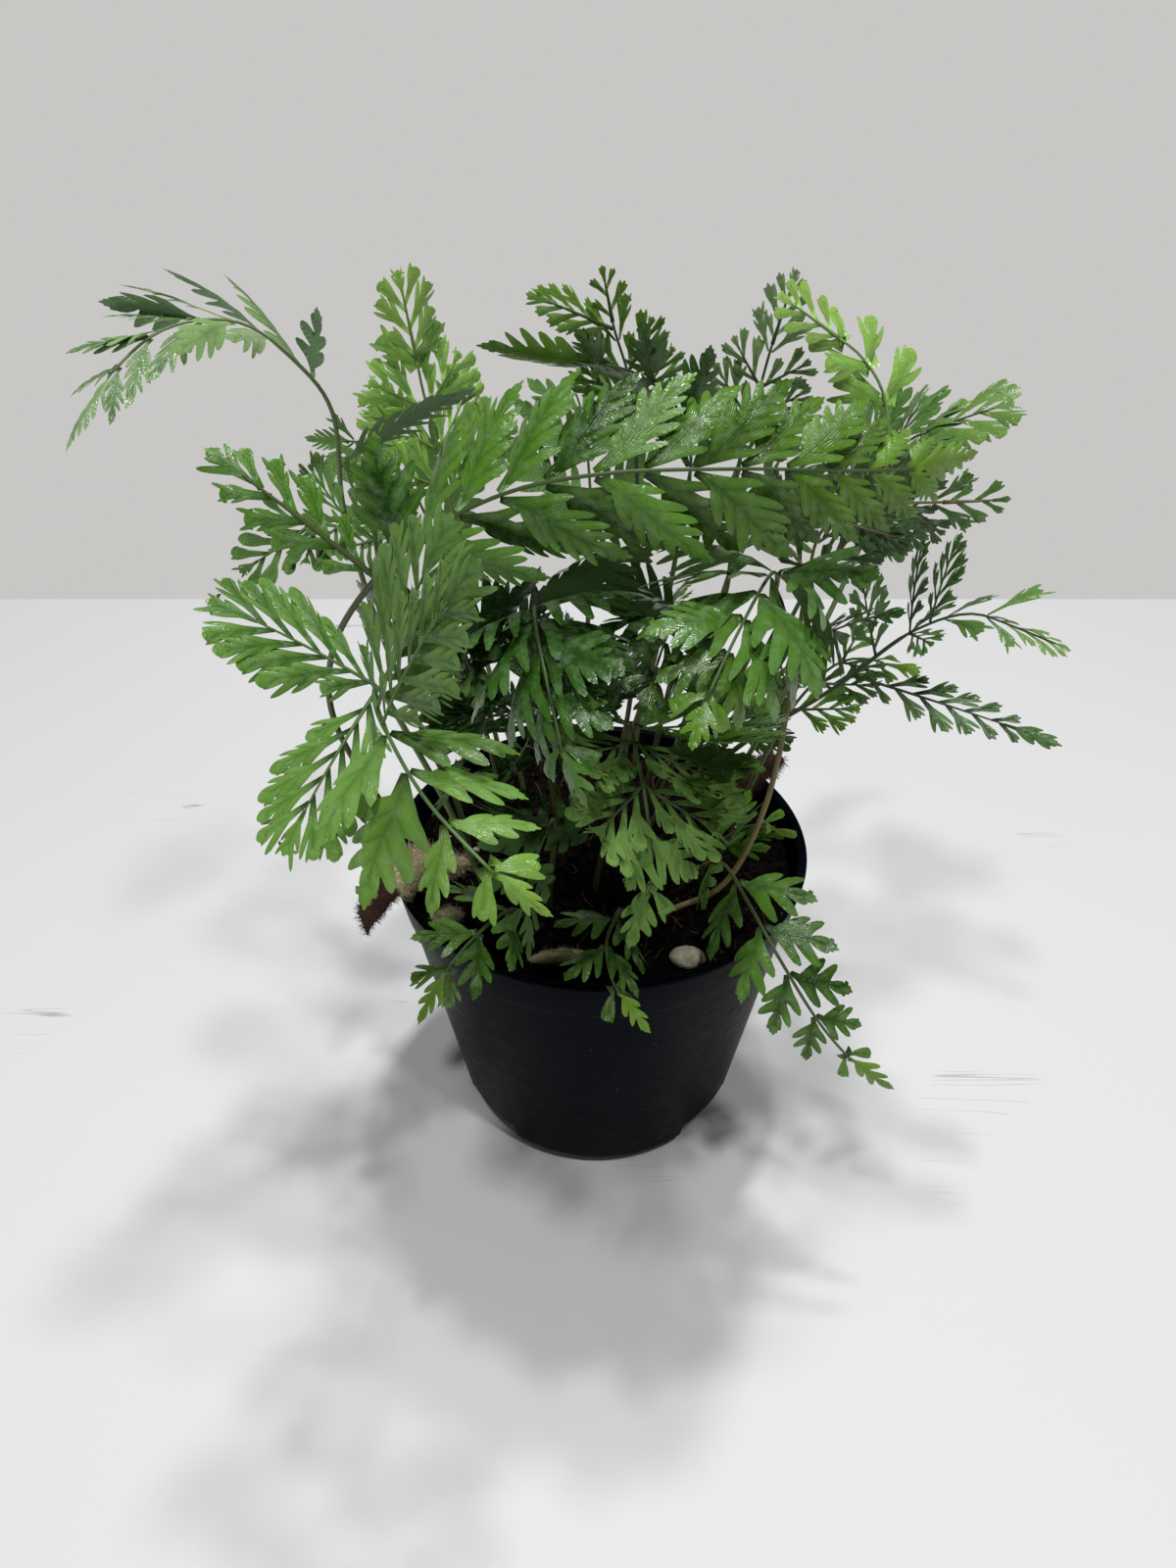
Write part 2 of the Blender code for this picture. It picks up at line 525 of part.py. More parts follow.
def object_tree(thing):
    """A search tree of an object as its modifiers leave it, in millimetres."""
    mesh = thing.evaluated_get(bpy.context.evaluated_depsgraph_get()).to_mesh()
    verts = [v.co / MM for v in mesh.vertices]
    return BVHTree.FromPolygons(verts, [tuple(p.vertices) for p in mesh.polygons])


def tip_leaf(row, spine):
    """The leaf at the frond's very tip and its edge."""
    start = spine.length - tip_length(row, spine)
    point, along, up = spine.at(start)
    leaf = Leaflet(point, along, up, spine.length - start, math.radians(row["droop"] * 0.3))
    return leaf, leaf_outline(leaf.length, 1.5 + 0.45 * leaf.length, row["cut"], LOBE_LEAN)


def tip_length(row, spine):
    return spine.length - leaf_plan(row, spine)[-1][0] - LEAF_BASE


def clear_of(tree, others):
    return not any(tree.overlap(other) for other in others)


def settle_leaflets(spines, solids):
    """Bends each leaflet clear of all that is there already. One that stays in the way is left off."""
    half = LEAF_THICKNESS / 2
    stems = [stem_tree(spine, CLEARANCE) for spine in spines]
    tips = [plate_tree(*tip_leaf(row, spine), half + CLEARANCE) for row, spine in zip(FRONDS, spines)]
    taken = [object_tree(solid) for solid in solids]
    settled = []
    for number, (row, spine) in enumerate(zip(FRONDS, spines)):
        kept = {}
        waiting = stems[:number] + stems[number + 1:] + tips[:number] + tips[number + 1:]
        placed = [plate_tree(*tip_leaf(row, spine), half)]
        for k, (s, leaves) in enumerate(leaf_plan(row, spine)):
            for side, leaf in leaves.items():
                lean = min(LOBE_LEAN, leaf[1].angle(spine.at(s)[1]) - math.radians(8))
                own = [stem_tree(spine, 0.0, 0.0, s - NODE_ROOM), stem_tree(spine, 0.0, s + NODE_ROOM)]
                for share in SHARES:
                    found = None
                    edge = leaf_outline(leaf[0] * share, leaf[3] * share, row["cut"], lean)
                    for fold in FOLDS:
                        leaflet = place_leaflet(spine, s, side, leaf, fold, share, row["droop"])
                        if not clear_of(plate_tree(leaflet, edge, half + CLEARANCE),
                                        taken + waiting + placed + own):
                            continue
                        if joins_well(spine, s, side, leaflet, edge):
                            found = (leaflet, edge)
                            break
                    if found:
                        kept[k, side] = found
                        placed.append(plate_tree(leaflet, edge, half))
                        break
        taken += placed
        settled.append(kept)
    return settled


class Shell:
    """Collects the vertices and faces of one closed solid, and which leaflet each face belongs to."""

    def __init__(self):
        self.verts, self.faces, self.owners = [], [], {}

    def add(self, point):
        self.verts.append(tuple(point))
        return len(self.verts) - 1

    def plate(self, owner, leaflet, edge, top_foot, bottom_foot):
        """A thin leaf blade that grows out of an opening in the stem. Both faces are split alike."""
        half, first = LEAF_THICKNESS / 2, len(self.faces)
        top = [self.add(leaflet.point(p.x, p.y, half)) for p in edge]
        bottom = [self.add(leaflet.point(p.x, p.y, -half)) for p in edge]
        flat = [(0.0, -LEAF_BASE / 2), (0.0, LEAF_BASE / 2)] + [(p.x, p.y) for p in edge]
        tris = geometry.tessellate_polygon([[(x, y, 0.0) for x, y in flat]])
        upper, lower = list(top_foot) + top, list(bottom_foot) + bottom
        self.faces += [tuple(upper[i] for i in t) for t in tris]
        self.faces += [tuple(lower[i] for i in t) for t in tris if len({lower[i] for i in t}) == 3]
        ring = list(range(1, len(flat))) + [0]
        for i, j in zip(ring, ring[1:]):
            self.faces.append((upper[i], upper[j], lower[j]))
            if lower[i] != lower[j]:
                self.faces.append((upper[i], lower[j], lower[i]))
        self.owners.update({face: owner for face in range(first, len(self.faces))})

    def crossing(self):
        """The owners of faces that cross another face of this solid."""
        tree = BVHTree.FromPolygons(self.verts, self.faces)
        found = set()
        for a, b in tree.overlap(tree):
            if a < b and not set(self.faces[a]) & set(self.faces[b]):
                found |= {self.owners.get(a), self.owners.get(b)}
        return found - {None}


def stem_stations(spine, plan, end):
    """The lengths at which the stem has a ring, and which node of leaves follows a ring."""
    stations, node_after = [0.0, SOIL_LEVEL + 3 - ROOT_LEVEL], {}
    for k, (s, _) in enumerate(plan):
        gap = s - LEAF_BASE / 2 - stations[-1]
        pieces = max(1, round(gap / STIPE_STEP))
        start = stations[-1]
        stations += [start + gap * (i + 1) / pieces for i in range(pieces)]
        node_after[len(stations) - 1] = k
        stations.append(s + LEAF_BASE / 2)
    stations.append(spine.length - end)
    return stations, node_after


def stem_shell(spine, stations, node_after, kept):
    """The stem's sides between the stations, with leaves at their nodes, open at both ends."""
    shell = Shell()
    rings = [[shell.add(corner) for corner in spine.ring(s)] for s in stations]
    for i, (low, high) in enumerate(zip(rings, rings[1:])):
        for side, (a, b) in SIDES.items():
            owner = (node_after.get(i), side)
            if owner not in kept:
                shell.faces.append((low[a], low[b], high[b], high[a]))
                continue
            leaflet, edge = kept[owner]
            first, last = (low, high) if leaflet.across.dot(spine.at(stations[i])[1]) > 0 else (high, low)
            if (Vector(shell.verts[low[a]]) - Vector(shell.verts[low[b]])).dot(leaflet.up) < 0:
                a, b = b, a
            shell.plate(owner, leaflet, edge, (first[a], last[a]), (first[b], last[b]))
    return shell, rings


def joins_well(spine, s, side, leaflet, edge):
    """True where a leaflet grows out of the stem without cutting through it."""
    stations = [s - NODE_ROOM, s - LEAF_BASE / 2, s + LEAF_BASE / 2, s + NODE_ROOM]
    return not stem_shell(spine, stations, {1: 0}, {(0, side): (leaflet, edge)})[0].crossing()


def frond_shell(row, spine, kept):
    stations, node_after = stem_stations(spine, leaf_plan(row, spine), tip_length(row, spine))
    shell, rings = stem_shell(spine, stations, node_after, kept)
    shell.faces.append(tuple(rings[0]))
    tip, edge = tip_leaf(row, spine)
    left, right, keel = rings[-1]
    if tip.across.dot(Vector(shell.verts[left]) - tip.foot) > 0:
        left, right = right, left
    shell.plate(None, tip, edge, (left, right), (keel, keel))
    return shell


def build_frond(row, spine, kept, finish):
    """Builds the frond, and leaves off a leaflet that would cross the frond's own stem or leaves."""
    shell = frond_shell(row, spine, kept)
    while shell.crossing():
        kept.pop(max(shell.crossing()))
        shell = frond_shell(row, spine, kept)
    mesh_data = bmesh.new()
    verts = [mesh_data.verts.new(v) for v in shell.verts]
    for face in shell.faces:
        mesh_data.faces.new([verts[i] for i in face])
    bmesh.ops.triangulate(mesh_data, faces=mesh_data.faces)
    return add_object(row["name"], mesh_data, finish)


def tube_of_rings(points, radii, sides=8):
    """A closed round body through the points, with a radius at each."""
    bm = bmesh.new()
    points = [Vector(p) for p in points]
    rings = []
    for i, (point, radius) in enumerate(zip(points, radii)):
        along = (points[min(i + 1, len(points) - 1)] - points[max(i - 1, 0)]).normalized()
        side = along.cross(Vector((0, 0, 1))).normalized()
        up = side.cross(along)
        turns = [math.tau * k / sides for k in range(sides)]
        rings.append([bm.verts.new(point + (side * math.cos(a) + up * math.sin(a)) * radius) for a in turns])
    for low, high in zip(rings, rings[1:]):
        for k in range(sides):
            bm.faces.new((low[k], low[(k + 1) % sides], high[(k + 1) % sides], high[k]))
    bm.faces.new(rings[0])
    bm.faces.new(rings[-1])
    bmesh.ops.triangulate(bm, faces=bm.faces)
    return bm


def lying(x, y, radius):
    """The middle of something round that lies on the soil."""
    return x, y, soil_height(x, y) + GAP + SOIL_SLACK + radius


def make_rhizomes():
    """The creeping stems that the fronds grow from, where they show above the soil."""
    pale = material("pale_rhizome_fur", (0.42, 0.4, 0.2), 0.9)
    brown = material("brown_rhizome_scales", (0.09, 0.03, 0.015), 0.9)
    over_rim = POT_HEIGHT + GAP
    left = (lying(-33, -4, 1.9), lying(-38, -9, 4.6), (-43, -14.5, over_rim + 3.9),
            (-46.5, -19, over_rim + 4.5), (-48.5, -22, over_rim + 4.2))
    made = [add_object("rhizome_left", tube_of_rings(left, (1.2, 2.9, 3.8, 4.1, 3.6)), pale)]
    tip = ((-48.9, -22.6, over_rim + 4.0), (-51.5, -26, over_rim + 2.9), (-54.0, -28.5, over_rim - 1.0),
           (-54.8, -29.5, over_rim - 5.0), (-55, -30, over_rim - 7.5))
    made.append(add_object("rhizome_left_tip", tube_of_rings(tip, (3.3, 3.7, 3.2, 1.5, 0.4)), brown))
    bud = (lying(-32.5, -22, 1.4), lying(-34.5, -23.2, 2.2), lying(-37, -24.6, 2.4), lying(-38.6, -25.6, 1.8))
    made.append(add_object("rhizome_bud", tube_of_rings(bud, (0.8, 2.2, 2.4, 1.0)), pale))
    front = (lying(-16, -36.5, 0.8), lying(-13, -36.5, 1.5), lying(-8, -36, 1.7), lying(-3, -35, 1.0))
    made.append(add_object("rhizome_front", tube_of_rings(front, (0.5, 1.5, 1.7, 0.6), 6), pale))
    right = (lying(32, 17, 1.4), lying(36.5, 20, 5.0), (41.5, 24, over_rim + 3.1),
             (45.5, 27.5, over_rim + 2.9), (48.5, 30, over_rim + 2.4))
    made.append(add_object("rhizome_right", tube_of_rings(right, (1.0, 2.8, 3.0, 2.8, 1.2)), brown))
    return made


def make_pebble():
    bm = bmesh.new()
    bmesh.ops.create_icosphere(bm, subdivisions=2, radius=1.0)
    bmesh.ops.scale(bm, vec=(4.2, 3.0, 2.2), verts=bm.verts)
    bmesh.ops.translate(bm, vec=lying(19.5, -37.0, 2.2), verts=bm.verts)
    return add_object("pebble", bm, material("pale_gravel", (0.3, 0.27, 0.2), 0.8))


def main():
    clear_scene()
    pot, soil = make_pot(), make_soil()
    laid = [pot, soil, *make_rhizomes(), make_pebble()]
    leaves = {name: material(f"fern_leaf_{name}", colour, 0.45) for name, colour in LEAF_COLOURS.items()}
    spines = [Spine(row) for row in FRONDS]
    for row, spine, kept in zip(FRONDS, spines, settle_leaflets(spines, laid)):
        build_frond(row, spine, kept, leaves[row["leaf"]])


main()
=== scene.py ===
"""Dresses a packed potted rock fern: black nursery pot, peat, furry creeping rhizomes and finely cut fronds.

Laid out as a Blender add-on and run as a script. Blender units are metres, +Z is up and -Y is the front.
Sizes in the tables are millimetres, and MM turns them into metres.
"""

import math
import random
from functools import partial

import bmesh
import bpy
from bpy.props import FloatProperty, FloatVectorProperty, IntProperty, PointerProperty
from mathutils import Euler, Matrix, Vector, noise
from mathutils.bvhtree import BVHTree


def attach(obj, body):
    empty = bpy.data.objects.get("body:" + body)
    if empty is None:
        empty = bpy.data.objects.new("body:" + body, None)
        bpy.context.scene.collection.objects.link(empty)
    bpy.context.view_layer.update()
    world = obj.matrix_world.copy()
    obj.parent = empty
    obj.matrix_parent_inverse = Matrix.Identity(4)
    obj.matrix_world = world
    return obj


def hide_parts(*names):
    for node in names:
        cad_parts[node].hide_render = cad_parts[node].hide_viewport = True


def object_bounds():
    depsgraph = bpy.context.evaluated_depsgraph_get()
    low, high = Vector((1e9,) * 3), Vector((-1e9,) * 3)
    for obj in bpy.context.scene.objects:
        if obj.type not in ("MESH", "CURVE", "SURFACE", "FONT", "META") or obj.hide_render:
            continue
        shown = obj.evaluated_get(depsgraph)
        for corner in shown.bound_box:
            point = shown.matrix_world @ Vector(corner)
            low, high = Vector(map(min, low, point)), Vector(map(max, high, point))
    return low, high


bl_info = {
    "name": "Potted rock fern",
    "version": (1, 0, 0),
    "blender": (4, 5, 0),
    "location": "3D View > Sidebar > Fern",
    "description": "Builds a potted fern on its packed frame: pot, peat, furry rhizomes and finely cut fronds",
    "category": "Object",
}

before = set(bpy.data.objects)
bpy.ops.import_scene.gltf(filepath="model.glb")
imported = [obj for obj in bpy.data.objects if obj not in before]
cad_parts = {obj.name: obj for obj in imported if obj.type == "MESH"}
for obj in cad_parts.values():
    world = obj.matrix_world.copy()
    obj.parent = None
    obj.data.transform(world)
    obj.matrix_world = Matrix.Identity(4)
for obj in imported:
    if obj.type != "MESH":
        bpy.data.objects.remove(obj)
CAD_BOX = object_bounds()

MM = 0.001
BODY = "root"

# Kinds of node that the finishes use. A Mix node's colours share their names with others, so they go by number
NOISE, MATH, MIX = "ShaderNodeTexNoise", "ShaderNodeMath", "ShaderNodeMix"
RAMP, BUMP = "ShaderNodeMapRange", "ShaderNodeBump"
MIX_A, MIX_B = 6, 7

# Colours that stand out in a finish: painted sheen and streaks on the plant, grit in the peat, wear and cracks in the
# paint, and the shades of perlite, gravel, dry fibres, fur and scales
PAINTED_SHEEN, STREAK, GRIT, WORN, CRACK = "#8caa84", "#2e2a17", "#7a6a55", "#9b9b9d", "#6f6f70"
PERLITE_SHADE, PERLITE_FLECK = "#b9b4aa", "#8f877a"
GRAVEL_SHADE, GRAVEL, GRAVEL_FLECK = "#8f8672", "#c6bfa9", "#5f574a"
FIBRE_SHADE, FIBRE = "#2b1d12", "#6e5236"
FUR_SHADE, SCALE_SHADE = "#a39468", "#24110b"

# The camera's place, read from the pot's rim and foot in the photograph
CAMERA_PLACE = (-0.0028, -0.2263, 0.2645)
CAMERA_PITCH = math.radians(36.5)
CAMERA_SENSOR = 36.0
CAMERA_LENS = 27.05

# The pot and the soil, as the solids have them, apart from the drain notches, which follow the photograph
RIM_RADIUS = 51.0
POT_HEIGHT = 80.0
BASE_RADIUS = 37.0
WALL = 1.4
COLLAR_HEIGHT = 11.0
COLLAR_STEP = 0.8
SHOULDER = 3.0
NOTCH_TURNS = (38, 142, 218, 322)
NOTCH_WIDTH = 21.0
NOTCH_HEIGHT = 8.4
NOTCH_DEPTH = 6.0
SOIL_LEVEL = 73.0
SOIL_DOME = 1.5
SOIL_LUMP = 0.5
SOIL_LUMP_WIDTH = 11.0
RELIEF_WIDTH = 4.5
SOIL_ROOM = 0.25
HOLE_BOTTOM = 66.0
GAP = 0.3
ROOT_LEVEL = HOLE_BOTTOM + GAP
PEBBLE_PLACE = (19.5, -37.0)
PEBBLE_RADII = (4.2, 3.0, 2.2)

# How finely turned and strewn shapes are built. Seeds fix what is strewn, densities count it on each square
# metre, and leans say how far it may tip, in radians. CRUMB_ROOM keeps it off the wall, and KNOB_SHARE is how far
# a rhizome's knobs rise, over its radius
SOIL_RINGS, SOIL_SIDES = 56, 150
RHIZOME_STEPS, RHIZOME_SIDES = 6, 20
GROUND_RINGS, GROUND_SIDES = 24, 60
AXIS_RADIUS = 0.002
WELD = 0.02
CRUMB_SEED, PERLITE_SEED, FIBRE_SEED, FUR_SEED = 11, 5, 23, 40
FROND_SEED = 1000
PERLITE_DENSITY, PERLITE_SIZES = 3200.0, (0.5 * MM, 1.1 * MM)
FIBRE_DENSITY, FIBRE_SIZES = 26000.0, (2.0 * MM, 6.5 * MM)
ANY_WAY, FIBRE_LEAN, HAIR_LEAN = 3.0, 1.45, 1.1
SHORTEST_HAIR = 0.35
CRUMB_ROOM = 2.2
KNOB_WIDTH, KNOB_SHARE = 1.6, 0.12

# The table, in millimetres, ends behind the pot, and each lamp looks at the clump's middle, in metres
TABLE_SIZE = (2400, 1480, 20)
TABLE_BACK = 280
LAMP_TARGET = (0.0, 0.0, 0.1)

# Stems and leaflets, as the solids have them
STIPE_RADIUS = 1.0
TIP_RADIUS = 0.45
CURVE_STEPS = 10
LEAF_BASE = 1.5
LOBE_LEAN = math.radians(43)
LEAN_ROOM = math.radians(8)
NODE_ROOM = 2.4
SHORTEST_LEAF = 5.5
MOST_TWIST = math.radians(50)
SAME_ANGLE = math.radians(2)
BRANCH_STEPS = 200
LEAN_LOSS = 14
SIDES = {"left": (0, 2), "right": (1, 2), "above": (0, 1)}
FOLDS = (0, 9, -9, 18, -18, 28, -28, 40, -40)
SHARES = (1.0, 0.8, 0.6)
FIT = 0.8
PROBES = (0.25, 0.45, 0.65, 0.8, 0.92)

# How finely a blade is cut. A lobe's edge is given as shares across it and out from its cut, and a crown's as
# shares along it and of its half width. A hub is how far out a lobe is thickest, and how much above and below.
# Fingers and teeth say how long a leaflet or a segment is with one more of them, and spans between which shares
# of a segment its teeth stand
BLADE_ROOM = 0.2
AXIS_STEPS = 8
STEM_SHARE = 0.72
RACHIS_SHARE = 0.5
STRAP_CUT = 0.17
STRAP_PITCH = 0.36
STRAP_LONGEST = 30.0
STRAP_COARSEST = 9.6
STRAP_LEANS = (math.radians(31), math.radians(48))
WEDGE_FINGERS = (7.5, 13)
SEGMENT_TEETH = (3.4, 7.5, 12)
SEGMENT_SPANS = ((0.5, 0.5), (0.3, 0.7), (0.26, 0.78), (0.24, 0.8))
STEM_SIDES = 10
STEM_STEP = 2.4
STEM_GROOVE = (2, 3)
TOOTHED_FROM = 3.3
INNER_HUB, OUTER_HUB, CROWN_HUB = (0.38, 1.0, 0.3), (0.74, 0.8, 0.1), (0.36, 0.8, 0.3)
FULLER_SIDE, OTHER_SIDE = 1.1, 0.92
END_CUT = 0.6
PLAIN_LOBE = ((0.06, 0.22), (0.12, 0.6), (0.28, 0.92), (0.52, 1.0), (0.76, 0.9), (0.92, 0.55), (0.96, 0.2))
TOOTHED_LOBE = ((0.06, 0.2), (0.1, 0.56), (0.22, 0.8), (0.3, 0.78), (0.42, 1.0), (0.6, 0.94), (0.64, 0.76),
                (0.84, 0.68), (0.93, 0.42), (0.96, 0.16))
SMALL_CROWN = ((0.34, 0.95), (0.66, 0.74), (0.72, 0.4), (1.0, 0.13))
ROUND_CROWN = ((0.3, 1.0), (0.6, 0.95), (0.82, 0.7), (0.95, 0.38), (1.0, 0.12))
LARGE_CROWN = ((0.28, 1.0), (0.5, 0.88), (0.52, 0.58), (0.78, 0.5), (0.8, 0.26), (1.0, 0.1))
LARGE_FROM = 1.1

# The least and the most that a blade's bend and a lobe's tilt, lean and reach may be, over what its form says
BEND_SPREAD, SAG_SPREAD, TILT_SPREAD = (0.2, 1.4), (0.1, 1.6), (-0.4, 1.2)
LEAN_SPREAD, REACH_SPREAD = (0.94, 1.06), (0.88, 1.1)

